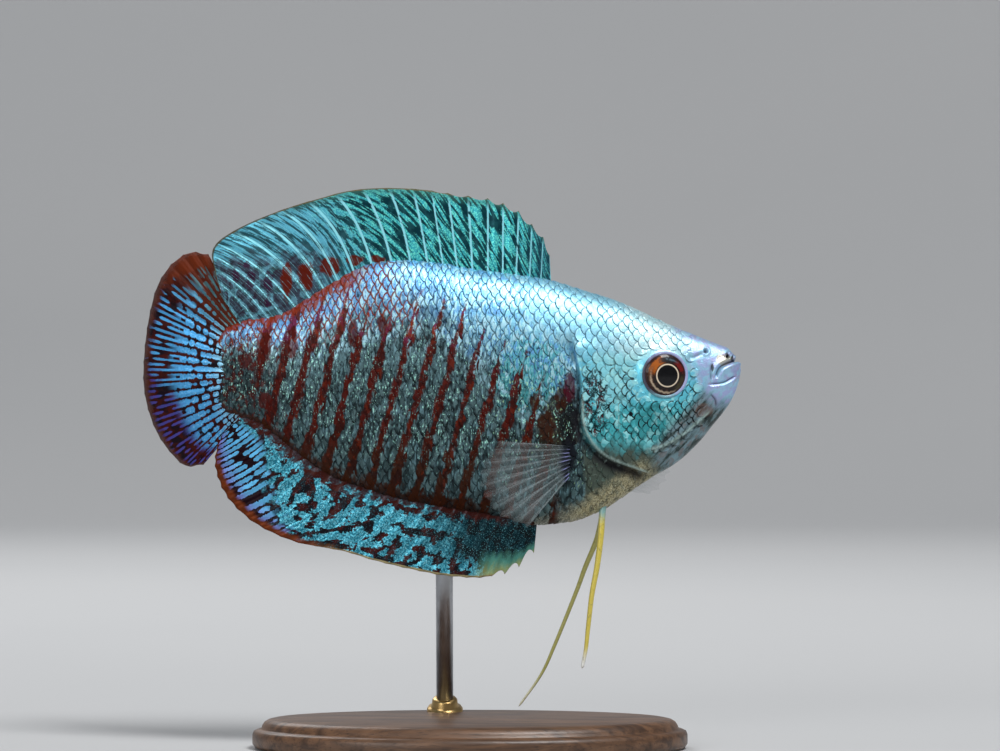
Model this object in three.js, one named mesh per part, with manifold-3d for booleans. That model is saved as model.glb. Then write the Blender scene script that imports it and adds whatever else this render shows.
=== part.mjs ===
// Male dwarf gourami, life size, hovering level with its tail turned away to its left. One leaning rod
// from a flat oval base carries it. Millimetres, +Z up, head towards +X, right flank towards -Y. The
// origin is the middle of the base's underside. The fish is modelled round a level axis from its mouth
// to its tail, and a group lifts it to its height.
import * as THREE from "three";
import { mergeVertices } from "three/addons/utils/BufferGeometryUtils.js";
import Module from "manifold-3d";

const wasm = await Module();
wasm.setup();

// Driving dimensions
const GAP = 0.3; // between neighbouring pieces
const FIN_GAP = 0.42; // by which the body is grown to cut a fin's root, less where the skin slants
const FISH_X = -4; // the fish's own origin, along the base
const AXIS_HEIGHT = 50.7; // the fish's axis over the floor
const BODY = { tailEnd: -27.2, snout: 40.1, stations: 40, sides: 32 };
const TAIL_BEND = { start: -12, rate: 0.01 }; // the spine turns left behind the start, by rate * distance^2
const EYE = { x: 30.1, z: -0.9, radius: 3, depth: 1.9, bulge: 0.75, turn: 0.2, rim: 0.42 };
const MOUTH = { corner: 36.7, reach: 2.2, lowerLead: 0.85, level: -0.35, rise: 1.4 };
const LIP = { offset: 0.6, radius: 0.34 };
const FIN = { web: 0.26, ray: 0.44, rayTip: 0.3, sink: 1.4 }; // half thicknesses, and the sunk root
const FEELER = { root: 0.55, tip: 0.3 };
const BASE = { length: 58, width: 36, thickness: 4, edge: 0.8, socket: 2.2 };
const ROD = { radius: 1.15, x: 0.5, topY: 1.1, topZ: -13.2, lean: 0.34 }; // in the fish's own frame
const ACROSS = 20; // half the width of a cut right through the fish
const WELD = 0.005; // corners closer than this are one

// A curve through stations, with no overshoot between them
function smoothCurve(stations) {
  const last = stations.length - 1;
  const slopes = stations.slice(1).map((to, i) => (to[1] - stations[i][1]) / (to[0] - stations[i][0]));
  const tangents = stations.map((_, i) => {
    if (i === 0) return slopes[0];
    if (i === last) return slopes[last - 1];
    const product = slopes[i - 1] * slopes[i];
    return product <= 0 ? 0 : (2 * product) / (slopes[i - 1] + slopes[i]);
  });
  return (x) => {
    const at = Math.min(Math.max(x, stations[0][0]), stations[last][0]);
    let i = 0;
    while (i < last - 1 && at > stations[i + 1][0]) i++;
    const [[x0, y0], [x1, y1]] = [stations[i], stations[i + 1]];
    const t = (at - x0) / (x1 - x0);
    const back = 1 - t;
    const blend = y0 * (1 + 2 * t) * back * back + y1 * t * t * (3 - 2 * t);
    return blend + (x1 - x0) * t * back * (tangents[i] * back - tangents[i + 1] * t);
  };
}

// The body's outline from the side, its half width and the fullness of its sections, all along X
const bodyTop = smoothCurve([
  [BODY.tailEnd, 6], [-25.6, 6.6], [-23.3, 6.8], [-20.7, 7.5], [-18.7, 8.7], [-14.7, 11.2], [-10.7, 13.4],
  [-8, 14.2], [-5, 14.4], [0, 14], [4, 13.3], [10.7, 12.4], [14.8, 11.7], [18.7, 10.5], [24, 8.8],
  [29.3, 6.4], [34.7, 4.1], [37.9, 2.9], [39.1, 2.1], [39.8, 1.1], [BODY.snout, 0.1],
]);
const bodyBottom = smoothCurve([
  [BODY.tailEnd, -6.4], [-24.7, -7.2], [-22.7, -8.5], [-20.7, -10.1], [-18.7, -11.7], [-16, -13.6],
  [-13.3, -15], [-5.3, -17.5], [0, -18.5], [8, -19.8], [12.8, -20.9], [17.3, -20.5], [20, -19.7],
  [22.1, -18.7], [25.3, -16.6], [28, -14.8], [31.7, -12.5], [34.7, -9.7], [36.3, -7.7], [38, -5.6],
  [39.1, -3.8], [39.8, -1.9], [BODY.snout, -0.5],
]);
const bodyHalfWidth = smoothCurve([
  [BODY.tailEnd, 0.85], [-25.5, 1.3], [-21, 2], [-16, 2.75], [-10, 3.6], [-4, 4.4], [2, 5], [8, 5.5],
  [13, 5.7], [18, 5.55], [22, 5.2], [26, 4.75], [30, 4.15], [33, 3.55], [36, 2.75], [37.8, 2.15],
  [39, 1.5], [39.8, 0.8], [BODY.snout, 0.25],
]);
const upperPinch = smoothCurve([[BODY.tailEnd, 1.1], [-10, 1.25], [8, 1.1], [22, 0.85], [36, 0.75]]);
const lowerPinch = smoothCurve([
  [BODY.tailEnd, 1.1], [-6, 1.35], [8, 1.05], [18, 0.85], [28, 0.95], [36, 0.8],
]);

// How far the spine has turned to the left at X
function spineSide(x) {
  return x < TAIL_BEND.start ? TAIL_BEND.rate * (TAIL_BEND.start - x) ** 2 : 0;
}

// Half the body's width at X and a height
function halfWidthAt(x, z) {
  const top = bodyTop(x);
  const bottom = bodyBottom(x);
  const rise = THREE.MathUtils.clamp((2 * z - top - bottom) / (top - bottom), -1, 1);
  const pinch = rise > 0 ? upperPinch(x) : lowerPinch(x);
  return bodyHalfWidth(x) * Math.sqrt(1 - rise * rise) ** pinch;
}

// A point of the skin at X, moved outwards by grow. The turn runs once round the section from the back.
function skinPoint(x, turn, grow) {
  const top = bodyTop(x) + grow;
  const bottom = bodyBottom(x) - grow;
  const rise = Math.cos(2 * Math.PI * turn);
  const across = Math.sin(2 * Math.PI * turn);
  const pinch = rise > 0 ? upperPinch(x) : lowerPinch(x);
  const width = (bodyHalfWidth(x) + grow) * Math.abs(across) ** pinch;
  const z = (top + bottom) / 2 + (rise * (top - bottom)) / 2;
  return new THREE.Vector3(x, spineSide(x) - Math.sign(across) * width, z);
}

// A geometry as a closed solid, and a solid as a geometry
function solidOf(geometry) {
  const bare = geometry.clone();
  bare.deleteAttribute("normal");
  bare.deleteAttribute("uv");
  const merged = mergeVertices(bare, 1e-4);
  const vertProperties = new Float32Array(merged.attributes.position.array);
  const triVerts = new Uint32Array(merged.index.array);
  const solid = new wasm.Manifold(new wasm.Mesh({ numProp: 3, vertProperties, triVerts }));
  if (solid.volume() >= 0) return solid;
  const turned = triVerts.map((_, i) => triVerts[i - (i % 3) + ((3 - (i % 3)) % 3)]);
  return new wasm.Manifold(new wasm.Mesh({ numProp: 3, vertProperties, triVerts: turned }));
}

function geometryOf(solid) {
  const mesh = solid.getMesh();
  const geometry = new THREE.BufferGeometry();
  geometry.setAttribute("position", new THREE.BufferAttribute(new Float32Array(mesh.vertProperties), 3));
  geometry.setIndex(welded(mesh));
  geometry.computeVertexNormals();
  return geometry;
}

// A mesh's triangles with the corners that a cut left closer than WELD made one, and flat folds dropped
function welded(mesh) {
  const position = mesh.vertProperties;
  const cellOf = (i, steps) => steps.map((step, k) => Math.floor(position[3 * i + k] / WELD) + step).join();
  const apart = (i, j) => Math.hypot(...[0, 1, 2].map((k) => position[3 * i + k] - position[3 * j + k]));
  const sides = [-1, 0, 1];
  const around = sides.flatMap((x) => sides.flatMap((y) => sides.map((z) => [x, y, z])));
  const cells = new Map();
  const owner = [];
  for (let i = 0; i < position.length / 3; i++) {
    const beside = around.flatMap((steps) => cells.get(cellOf(i, steps)) ?? []);
    const close = beside.find((j) => apart(i, j) < WELD);
    owner.push(close ?? i);
    if (close !== undefined) continue;
    const cell = cellOf(i, [0, 0, 0]);
    cells.set(cell, [...(cells.get(cell) ?? []), i]);
  }
  const kept = new Map();
  for (let t = 0; t < mesh.triVerts.length; t += 3) {
    const corners = [...mesh.triVerts.slice(t, t + 3)].map((i) => owner[i]);
    if (new Set(corners).size < 3) continue;
    const key = [...corners].sort((a, b) => a - b).join();
    if (kept.has(key)) kept.delete(key);
    else kept.set(key, corners);
  }
  return [...kept.values()].flat();
}

function piecesBySize(solid) {
  return solid.decompose().sort((a, b) => b.volume() - a.volume());
}

// A closed solid from rings of equal length, capped at both ends
function ringSolid(rings) {
  const count = rings[0].length;
  const points = rings.flat();
  const index = [];
  for (let start = 0; start < points.length - count; start += count) {
    for (let i = 0; i < count; i++) {
      const [a, b] = [start + i, start + ((i + 1) % count)];
      index.push(a, b, b + count, a, b + count, a + count);
    }
  }
  for (const [start, toFront] of [[0, false], [points.length - count, true]]) {
    const middle = points.slice(start, start + count).reduce((sum, p) => sum.add(p), new THREE.Vector3());
    const centre = points.push(middle.divideScalar(count)) - 1;
    for (let i = 0; i < count; i++) {
      const [a, b] = [start + i, start + ((i + 1) % count)];
      index.push(...(toFront ? [a, b, centre] : [b, a, centre]));
    }
  }
  return solidOf(new THREE.BufferGeometry().setFromPoints(points).setIndex(index));
}

// A tube of varying radius along a curve
function tubeSolid(curve, radiusAt, steps, sides) {
  const frames = curve.computeFrenetFrames(steps, false);
  const rings = frames.normals.map((normal, i) => {
    const centre = curve.getPointAt(i / steps);
    return Array.from({ length: sides }, (_, k) => {
      const angle = (k / sides) * 2 * Math.PI;
      const out = normal.clone().multiplyScalar(Math.cos(angle));
      out.addScaledVector(frames.binormals[i], Math.sin(angle));
      return centre.clone().addScaledVector(out, radiusAt(i / steps));
    });
  });
  return ringSolid(rings);
}

// The whole body in one, grown outwards. Stations lie closer towards the snout.
function bodySolid(grow) {
  const rings = [];
  for (let i = 0; i <= BODY.stations; i++) {
    const share = 1 - (1 - i / BODY.stations) ** 1.5;
    const x = BODY.tailEnd + (BODY.snout - BODY.tailEnd) * share;
    const end = i === 0 ? -grow : i === BODY.stations ? grow : 0;
    const turns = Array.from({ length: BODY.sides }, (_, k) => k / BODY.sides);
    rings.push(turns.map((turn) => skinPoint(x, turn, grow).add(new THREE.Vector3(end, 0, 0))));
  }
  return ringSolid(rings);
}

// A thin curved cut right through the fish, along stations seen from the side
function thinCut(stations, steps) {
  const curve = new THREE.SplineCurve(stations.map(([x, z]) => new THREE.Vector2(x, z)));
  const edges = [[], []];
  for (let i = 0; i <= steps; i++) {
    const at = curve.getPoint(i / steps);
    const along = curve.getTangent(i / steps);
    const off = new THREE.Vector2(-along.y, along.x).multiplyScalar(GAP / 2);
    edges[0].push(at.clone().add(off));
    edges[1].unshift(at.clone().sub(off));
  }
  const shape = new THREE.Shape(edges.flat());
  const geometry = new THREE.ExtrudeGeometry(shape, { depth: 2 * ACROSS, bevelEnabled: false });
  return solidOf(geometry.rotateX(Math.PI / 2).translate(0, ACROSS, 0));
}

const GILL_EDGE = [[18.3, 18], [18, 10.8], [17.6, 6], [17.7, 2.5], [18.6, -1], [18.6, -4.3], [18.7, -7.6],
  [20.3, -10.5], [22.6, -12.3], [25.6, -13.4], [28, -14.3], [30, -16]];
const MOUTH_LINE = [[42.5, 2.2], [39.4, 0.95], [37.9, 0.5], [36.7, -0.35], [35.6, -1.9], [35, -4],
  [34.7, -6.5], [34.4, -9], [34.2, -12.5]];
const TAIL_STEM_EDGE = [[-21.8, 12], [-22.4, 0], [-21.8, -14]];

// The eye's own frame, with +Z out of the head. Side is -1 on the right and +1 on the left.
function eyeFrame(side) {
  const turn = new THREE.Euler((-side * Math.PI) / 2, 0, -side * EYE.turn, "ZXY");
  const y = side * (halfWidthAt(EYE.x, EYE.z) + EYE.bulge - EYE.depth);
  return new THREE.Matrix4().makeRotationFromEuler(turn).setPosition(EYE.x, y, EYE.z);
}

function eyeball(side, grow) {
  const ball = new THREE.SphereGeometry(1, 20, 10).rotateX(Math.PI / 2);
  ball.scale(EYE.radius + grow, EYE.radius + grow, EYE.depth + grow);
  return solidOf(ball.applyMatrix4(eyeFrame(side)));
}

// The raised collar of skin round the eye, a low disc with a round shoulder
function eyeRim(side) {
  const outer = EYE.radius + EYE.rim;
  const shoulder = [[outer + 0.4, -1], [outer + 0.3, -0.1], [outer, 0.12], [outer - 0.3, 0.2]];
  const profile = [[0, -1], ...shoulder, [0, 0.2]];
  const disc = new THREE.LatheGeometry(profile.map(([r, h]) => new THREE.Vector2(r, h)), 24);
  disc.rotateX(Math.PI / 2).translate(0, 0, EYE.depth - EYE.bulge);
  return solidOf(disc.applyMatrix4(eyeFrame(side)));
}

// A lip from corner to corner. Level is +1 for the upper lip and -1 for the lower one.
function lip(level) {
  const points = [];
  for (let i = -4; i <= 4; i++) {
    const forward = 1 - (i / 4) ** 2;
    const x = MOUTH.corner + (MOUTH.reach + (level < 0 ? MOUTH.lowerLead : 0)) * forward;
    const z = MOUTH.level + MOUTH.rise * forward + level * LIP.offset;
    const y = Math.sign(i) * (halfWidthAt(Math.min(x, 39), z) - 0.1) * Math.abs(i / 4) ** 0.35;
    points.push(new THREE.Vector3(x, y, z));
  }
  const curve = new THREE.CatmullRomCurve3(points);
  return tubeSolid(curve, (t) => LIP.radius * (0.9 + 0.6 * Math.sin(Math.PI * t)), 16, 8);
}

// The front nostril is a short tube, the hind one a pit
const NOSTRILS = [{ x: 35.5, z: 2.05, pit: 0.27, wall: 0.5 }, { x: 33.5, z: 1.7, pit: 0.24, wall: 0 }];

function nostrilPart(side, { x, z }, radius, inside, outside) {
  const post = new THREE.CylinderGeometry(radius, radius, inside + outside, 10);
  post.translate(0, (outside - inside) / 2, 0).rotateX((side * Math.PI) / 2).rotateZ(-side * 0.35);
  return solidOf(post.translate(x, side * halfWidthAt(x, z), z));
}

// The folds of the cheek: a groove down the cheek and forwards along the jaw
const CHEEK_FOLD = [[23.7, -2.6], [23.5, -6], [24.1, -9], [26.2, -11], [29.3, -10.9], [32, -9.5],
  [34.2, -7.8]];

function cheekFold(side) {
  const points = CHEEK_FOLD.map(([x, z]) => new THREE.Vector3(x, side * halfWidthAt(x, z), z));
  return tubeSolid(new THREE.CatmullRomCurve3(points), (t) => 0.12 + 0.2 * Math.sin(Math.PI * t), 20, 6);
}

// The head, lower jaw, trunk and tail stem, parted by thin cuts through one body
function fleshSolids() {
  let body = bodySolid(0).add(lip(1)).add(lip(-1));
  for (const side of [-1, 1]) {
    body = body.add(eyeRim(side));
    for (const nostril of NOSTRILS.filter(({ wall }) => wall)) {
      body = body.add(nostrilPart(side, nostril, nostril.wall, 1, 0.35));
    }
    body = body.subtract(eyeball(side, GAP)).subtract(cheekFold(side));
    for (const nostril of NOSTRILS) body = body.subtract(nostrilPart(side, nostril, nostril.pit, 0.7, 1));
  }
  const cuts = [thinCut(GILL_EDGE, 22), thinCut(MOUTH_LINE, 18), thinCut(TAIL_STEM_EDGE, 4)];
  for (const cut of cuts) body = body.subtract(cut);
  const [torso, head, tailStem, lowerJaw] = piecesBySize(body.subtract(rodSolid(GAP)));
  return { head, lower_jaw: lowerJaw, torso, tail_stem: tailStem };
}

// A fin: a web from a root line to its margin, with a ridge for every ray on both faces. The two lines
// have a point for each other. A ray's middle is moved by arch, and a forked ray parts into two.
function finSolid({ roots, tips, rays, rows, notch, arch = () => [0, 0, 0], sway = null, forked = false }) {
  const rootLine = new THREE.CatmullRomCurve3(roots);
  const tipLine = new THREE.CatmullRomCurve3(tips);
  const pointAt = (u, v) => {
    const root = rootLine.getPoint(u);
    const ray = tipLine.getPoint(u).sub(root);
    const reach = v < 0 ? -FIN.sink / ray.length() : v;
    const at = root.addScaledVector(ray, reach);
    at.addScaledVector(new THREE.Vector3(...arch(u)), 4 * Math.max(v, 0) * (1 - Math.max(v, 0)));
    if (sway) at.y = spineSide(at.x) + sway(u, Math.max(v, 0));
    return at;
  };
  const offsets = forked ? [0, 0.16, 0.34, 0.66, 0.84] : [0, 0.28, 0.72];
  const ridgeAt = (offset, v) => {
    const fork = forked ? THREE.MathUtils.smoothstep(v, 0.35, 0.6) : 0;
    if (offset === 0) return 1 - fork;
    return Math.abs(offset - 0.5) > 0.3 ? fork : 0;
  };
  const columns = [];
  for (let ray = 0; ray < rays; ray++) {
    for (const offset of ray < rays - 1 ? offsets : [0]) {
      columns.push({ u: (ray + offset) / (rays - 1), offset });
    }
  }
  const levels = [-1, ...Array.from({ length: rows + 1 }, (_, r) => r / rows)];
  const small = 0.002;
  const halves = columns.flatMap(({ u, offset }) => levels.map((level) => {
    const valley = 4 * offset * (1 - offset);
    const v = level < 0 ? level : level * (1 - notch(u) * valley);
    const across = pointAt(Math.min(u + small, 1), v).sub(pointAt(Math.max(u - small, 0), v));
    const near = Math.max(v, 0);
    const along = pointAt(u, near + small).sub(pointAt(u, near));
    const ridge = ridgeAt(offset, near) * (FIN.ray + (FIN.rayTip - FIN.ray) * near - FIN.web);
    const half = across.cross(along).normalize().multiplyScalar(FIN.web + ridge);
    return { at: pointAt(u, v), half };
  }));
  const points = [...halves.map(({ at, half }) => at.clone().add(half)),
    ...halves.map(({ at, half }) => at.clone().sub(half))];
  const far = halves.length;
  const rowCount = levels.length;
  const index = [];
  const wall = (a, b) => index.push(a, b, b + far, a, b + far, a + far);
  for (let a = 0; a < far - rowCount; a++) {
    const b = a + rowCount;
    if (a % rowCount < rowCount - 1) {
      index.push(a, b, b + 1, a, b + 1, a + 1);
      index.push(a + far, b + 1 + far, b + far, a + far, a + 1 + far, b + 1 + far);
    }
    if (a % rowCount === 0) wall(b, a);
    if (a % rowCount === rowCount - 1) wall(a, b);
  }
  for (let r = 0; r < rowCount - 1; r++) {
    wall(r, r + 1);
    wall(far - rowCount + r + 1, far - rowCount + r);
  }
  return solidOf(new THREE.BufferGeometry().setFromPoints(points).setIndex(index));
}

const point = ([x, z]) => new THREE.Vector3(x, 0, z);
const hump = (u, start) => Math.sin((Math.PI * Math.max(0, u - start)) / (1 - start));

// Fins along the back and the belly: each row is a ray's root along X, then its tip
const DORSAL_RAYS = [[14.8, 14.6, 15], [13.4, 13.7, 17.6], [11.8, 12.1, 19.4], [9.9, 10.2, 21.2],
  [8, 8, 22.2], [5.9, 5.8, 22.8], [3.7, 2.9, 23.1], [1.6, 0.2, 23.5], [-0.4, -2, 23.8], [-2.7, -5, 24],
  [-5.2, -8.6, 24], [-8, -12.4, 23.6], [-10.6, -16.2, 22.6], [-13, -20, 21.5], [-15, -23.6, 20.2],
  [-17, -27, 18.7],
  [-19, -29.7, 17], [-21, -30.6, 15.6], [-22.8, -29.5, 13.6], [-24.4, -28.4, 11.8], [-25.8, -27.3, 9.8]];
const ANAL_RAYS = [[12.9, 12.5, -24.7], [11.3, 9.8, -27.1], [9.6, 7.3, -27.7], [7.9, 5.1, -28],
  [6, 2.6, -27.9], [4, -0.2, -27.6], [1.8, -3.2, -27], [-0.6, -6.3, -26.3], [-3.1, -9.4, -25.5],
  [-5.7, -12.6, -24.5],
  [-8.3, -15.8, -23.9], [-10.9, -19, -23.3], [-13.4, -22.2, -22.1], [-15.8, -25, -20.6],
  [-18.1, -27.4, -18.6], [-20, -28.9, -16.7], [-21.6, -29.8, -14.7], [-22.9, -29.8, -12.9],
  [-24, -29, -11.1], [-25.2, -27.7, -9.3]];
const DORSAL_FIN = {
  roots: DORSAL_RAYS.map(([x]) => point([x, bodyTop(x)])),
  tips: DORSAL_RAYS.map(([, x, z]) => point([x, z])),
  rays: 22,
  rows: 4,
  notch: (u) => 0.04 + 0.12 * Math.max(0, 1 - 3 * u),
  arch: (u) => [0.5 * hump(u, 0.4), 0, hump(u, 0.4)],
  sway: (u, v) => v * (0.5 * Math.sin(6 * u) - THREE.MathUtils.smoothstep(u, 0.75, 1)),
};
const ANAL_FIN = {
  roots: ANAL_RAYS.map(([x]) => point([x, bodyBottom(x)])),
  tips: ANAL_RAYS.map(([, x, z]) => point([x, z])),
  rays: 27,
  rows: 4,
  notch: (u) => 0.04 + 0.3 * Math.max(0, 1 - 9 * u),
  arch: (u) => [0.3 * hump(u, 0.3), 0, -0.8 * hump(u, 0.3)],
  sway: (u, v) => v * (0.5 * Math.sin(5 * u + 2) - 0.6 * THREE.MathUtils.smoothstep(u, 0.75, 1)),
};
const CAUDAL_TIPS = [[-31.2, 15.3], [-33.8, 15.6], [-36.4, 14], [-38.3, 11.2], [-39.3, 7.8], [-39.9, 4.2],
  [-40.2, 0.8], [-40.2, -2.4], [-39.6, -5.6], [-38.4, -8.7], [-36.6, -11.3], [-34.4, -13.2], [-31.9, -13]];
const CAUDAL_FIN = {
  roots: CAUDAL_TIPS.map((_, i) => point([-26.6, 6.4 - 1.1 * i])),
  tips: CAUDAL_TIPS.map(point),
  rays: 13,
  rows: 4,
  notch: () => 0.02,
  sway: (u, v) => v * 0.5 * Math.sin(9 * u),
  forked: true,
};

// The two side fins fan out from a short line behind the gill slit. The right one trails, the left one
// is swung forwards.
const PECTORAL_ROOT = { x: 16.9, top: -10.3, step: -1.05 };
const PECTORAL_TIPS = {
  right: [[7.7, -12.2, -9.5], [5.5, -13.2, -12.6], [5.5, -13.4, -16], [7.7, -12.6, -19.2],
    [11.6, -11.2, -21]],
  left: [[29, 10.6, -9], [31.2, 11.8, -11.8], [31, 12.4, -14.7], [28.8, 12.4, -17], [25.4, 11.8, -16.6]],
};

function pectoralFin(side) {
  const tips = side < 0 ? PECTORAL_TIPS.right : PECTORAL_TIPS.left;
  const roots = tips.map((_, i) => {
    const z = PECTORAL_ROOT.top + PECTORAL_ROOT.step * i;
    return new THREE.Vector3(PECTORAL_ROOT.x, side * halfWidthAt(PECTORAL_ROOT.x, z), z);
  });
  return finSolid({
    roots,
    tips: tips.map((tip) => new THREE.Vector3(...tip)),
    rays: 10,
    rows: 4,
    notch: () => 0.04,
    arch: () => [0, side * 0.8, 0],
  });
}

// The pelvic fins are two long threads from under the breast
const FEELER_ROUTES = {
  right: [[21.9, -0.9, -17.6], [21.6, -1.2, -19.6], [21.4, -1.6, -22.5], [20.9, -1.9, -26.4],
    [20.2, -2.1, -30.2], [19.7, -2.3, -34.5], [19.4, -2.4, -37.3], [18.9, -2.4, -39.9]],
  left: [[22, 0.9, -17.6], [21.6, 1.3, -20], [20.9, 1.8, -23], [19.4, 2.3, -26.7], [18.2, 2.6, -30],
    [15.3, 3, -37.2], [13.5, 3.2, -41.1], [10.5, 3.4, -45.4]],
};

function pelvicFeeler(route) {
  const curve = new THREE.CatmullRomCurve3(route.map((p) => new THREE.Vector3(...p)));
  return tubeSolid(curve, (t) => FEELER.root + (FEELER.tip - FEELER.root) * t * t, 22, 7);
}

// The rod leans in from the left and ends in blind sockets, in the base and in the trunk's underside.
// It is given in the fish's own frame.
const rodTop = new THREE.Vector3(ROD.x, ROD.topY, ROD.topZ);
const rodAxis = new THREE.Vector3(0, -ROD.lean, 1).normalize();
const rodFootZ = BASE.thickness - BASE.socket - AXIS_HEIGHT;

function rodSolid(grow) {
  const length = (rodTop.z - rodFootZ) / rodAxis.z + 2 * grow;
  const post = new THREE.CylinderGeometry(ROD.radius + grow, ROD.radius + grow, length, 20);
  const turn = new THREE.Quaternion().setFromUnitVectors(new THREE.Vector3(0, 1, 0), rodAxis);
  const middle = rodTop.clone().addScaledVector(rodAxis, grow - length / 2);
  return solidOf(post.applyQuaternion(turn).translate(...middle));
}

// The oval base, with its socket for the rod, in the fish's own frame as well
function baseSolid() {
  const oval = new THREE.Shape();
  const edge = BASE.edge;
  oval.absellipse(0, 0, BASE.length / 2 - edge, BASE.width / 2 - edge, 0, 2 * Math.PI);
  const settings = { bevelThickness: edge, bevelSize: edge, bevelSegments: 2, curveSegments: 20 };
  const plate = new THREE.ExtrudeGeometry(oval, { depth: BASE.thickness - 2 * edge, ...settings });
  return solidOf(plate.translate(-FISH_X, 0, edge - AXIS_HEIGHT)).subtract(rodSolid(GAP));
}

// Every piece by name
const nearBody = bodySolid(FIN_GAP);
const fins = {
  dorsal_fin: finSolid(DORSAL_FIN),
  anal_fin: finSolid(ANAL_FIN),
  caudal_fin: finSolid(CAUDAL_FIN),
  pectoral_fin_right: pectoralFin(-1),
  pectoral_fin_left: pectoralFin(1),
  pelvic_feeler_right: pelvicFeeler(FEELER_ROUTES.right),
  pelvic_feeler_left: pelvicFeeler(FEELER_ROUTES.left),
};
for (const [name, fin] of Object.entries(fins)) fins[name] = fin.subtract(nearBody);
const solids = {
  ...fleshSolids(),
  eye_right: eyeball(-1, 0),
  eye_left: eyeball(1, 0),
  ...fins,
  stand_rod: rodSolid(0),
  stand_base: baseSolid(),
};

const FINISHES = {
  skin: { color: 0x86b9cf, roughness: 0.35, metalness: 0.3 },
  eye: { color: 0x2a1c18, roughness: 0.08, metalness: 0 },
  fin: { color: 0x3f93a8, roughness: 0.4, metalness: 0.2 },
  tail: { color: 0x7a2418, roughness: 0.4, metalness: 0.1 },
  clear_fin: { color: 0x8fa39c, roughness: 0.3, metalness: 0 },
  feeler: { color: 0xd9c65a, roughness: 0.45, metalness: 0 },
  rod: { color: 0xb9bcbf, roughness: 0.3, metalness: 1 },
  base: { color: 0x5d3f2b, roughness: 0.45, metalness: 0 },
};

const FINISH_BY_START = {
  eye: "eye",
  dorsal: "fin",
  anal: "fin",
  caudal: "tail",
  pectoral: "clear_fin",
  pelvic: "feeler",
  stand_rod: "rod",
  stand_base: "base",
};

function finishOf(name) {
  const start = Object.keys(FINISH_BY_START).find((word) => name.startsWith(word));
  return FINISHES[FINISH_BY_START[start] ?? "skin"];
}

const fish = new THREE.Group();
fish.position.set(FISH_X, 0, AXIS_HEIGHT);
for (const [name, solid] of Object.entries(solids)) {
  const geometry = geometryOf(piecesBySize(solid)[0]);
  const mesh = new THREE.Mesh(geometry, new THREE.MeshStandardMaterial(finishOf(name)));
  mesh.name = name;
  fish.add(mesh);
}

export default new THREE.Group().add(fish);
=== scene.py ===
import bpy
import mathutils
import numpy as np
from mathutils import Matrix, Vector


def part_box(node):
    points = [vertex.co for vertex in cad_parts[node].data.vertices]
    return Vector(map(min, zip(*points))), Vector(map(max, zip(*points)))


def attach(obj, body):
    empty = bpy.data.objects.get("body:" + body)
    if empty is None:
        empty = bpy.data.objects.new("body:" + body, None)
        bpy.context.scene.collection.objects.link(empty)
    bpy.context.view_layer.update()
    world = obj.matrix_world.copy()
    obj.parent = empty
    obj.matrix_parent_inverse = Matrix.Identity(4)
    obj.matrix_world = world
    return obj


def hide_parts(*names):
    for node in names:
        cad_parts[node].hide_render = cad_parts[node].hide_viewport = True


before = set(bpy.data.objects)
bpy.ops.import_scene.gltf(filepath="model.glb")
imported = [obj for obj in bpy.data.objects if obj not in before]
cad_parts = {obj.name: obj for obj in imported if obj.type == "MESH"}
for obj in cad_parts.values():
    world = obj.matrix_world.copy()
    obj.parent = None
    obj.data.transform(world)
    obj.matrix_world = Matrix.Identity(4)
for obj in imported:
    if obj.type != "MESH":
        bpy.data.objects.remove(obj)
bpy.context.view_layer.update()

MM = 0.001
RIGHT, LEFT = -1, 1
WORD = {RIGHT: "right", LEFT: "left"}
TURN_AROUND = 2 * np.pi

# The fish's own origin in the model's frame, from where the solid of the right eye lies
SOLID_EYE = (30.1, -0.9)
eye_low, eye_high = (np.array(corner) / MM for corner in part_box("eye_right"))
FISH_ORIGIN = (eye_low + eye_high) / 2 * [1, 0, 1] - [SOLID_EYE[0], 0, SOLID_EYE[1]]

# The eye: its place on the head's side, its size, how far it stands out, how much it looks forward, and
# the radius round it that has no scales
EYE = {"x": 29.65, "z": -0.9, "radius": 2.8, "depth": 1.9, "bulge": 0.72, "forward": 0.2, "bare": 3.85}


# Curves and shares, worked out on whole arrays


def smooth_curve(stations):
    """Function through (x, value) stations: cubic pieces whose slope at a station is the harmonic mean
    of the slopes on its two sides, or level at a turning point, so that nothing overshoots."""
    xs, ys = np.array(stations, float).T
    slopes = np.diff(ys) / np.diff(xs)
    product = slopes[:-1] * slopes[1:]
    total = np.where(product > 0, slopes[:-1] + slopes[1:], 1)
    inner = np.where(product > 0, 2 * product / total, 0)
    tangents = np.concatenate([slopes[:1], inner, slopes[-1:]])

    def value(x):
        at = np.clip(x, xs[0], xs[-1])
        i = np.clip(np.searchsorted(xs, at, side="right") - 1, 0, len(xs) - 2)
        width = xs[i + 1] - xs[i]
        t = (at - xs[i]) / width
        back = 1 - t
        ends = ys[i] * (1 + 2 * t) * back**2 + ys[i + 1] * t * t * (3 - 2 * t)
        return ends + width * t * back * (tangents[i] * back - tangents[i + 1] * t)

    return value


def spline(points, share):
    """Catmull-Rom curve through points, at shares 0 to 1 that count its points evenly."""
    points = np.array(points, float)
    padded = np.vstack([2 * points[0] - points[1], points, 2 * points[-1] - points[-2]])
    place = np.clip(share, 0, 1) * (len(points) - 1)
    i = np.minimum(place.astype(int), len(points) - 2)
    t = (place - i)[..., None]
    a, b, c, d = (padded[i + k] for k in range(4))
    return 0.5 * (2 * b + (c - a) * t + (2 * a - 5 * b + 4 * c - d) * t**2 + (3 * b - a - 3 * c + d) * t**3)


def step(value, low, high):
    """Smooth step, 0 at low and 1 at high. It falls where low is above high."""
    t = np.clip((value - low) / (high - low), 0, 1)
    return t * t * (3 - 2 * t)


def bell(distance, width):
    """Bell curve, 1 at no distance and about a third at one width."""
    return np.exp(-((distance / width) ** 2))


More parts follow.
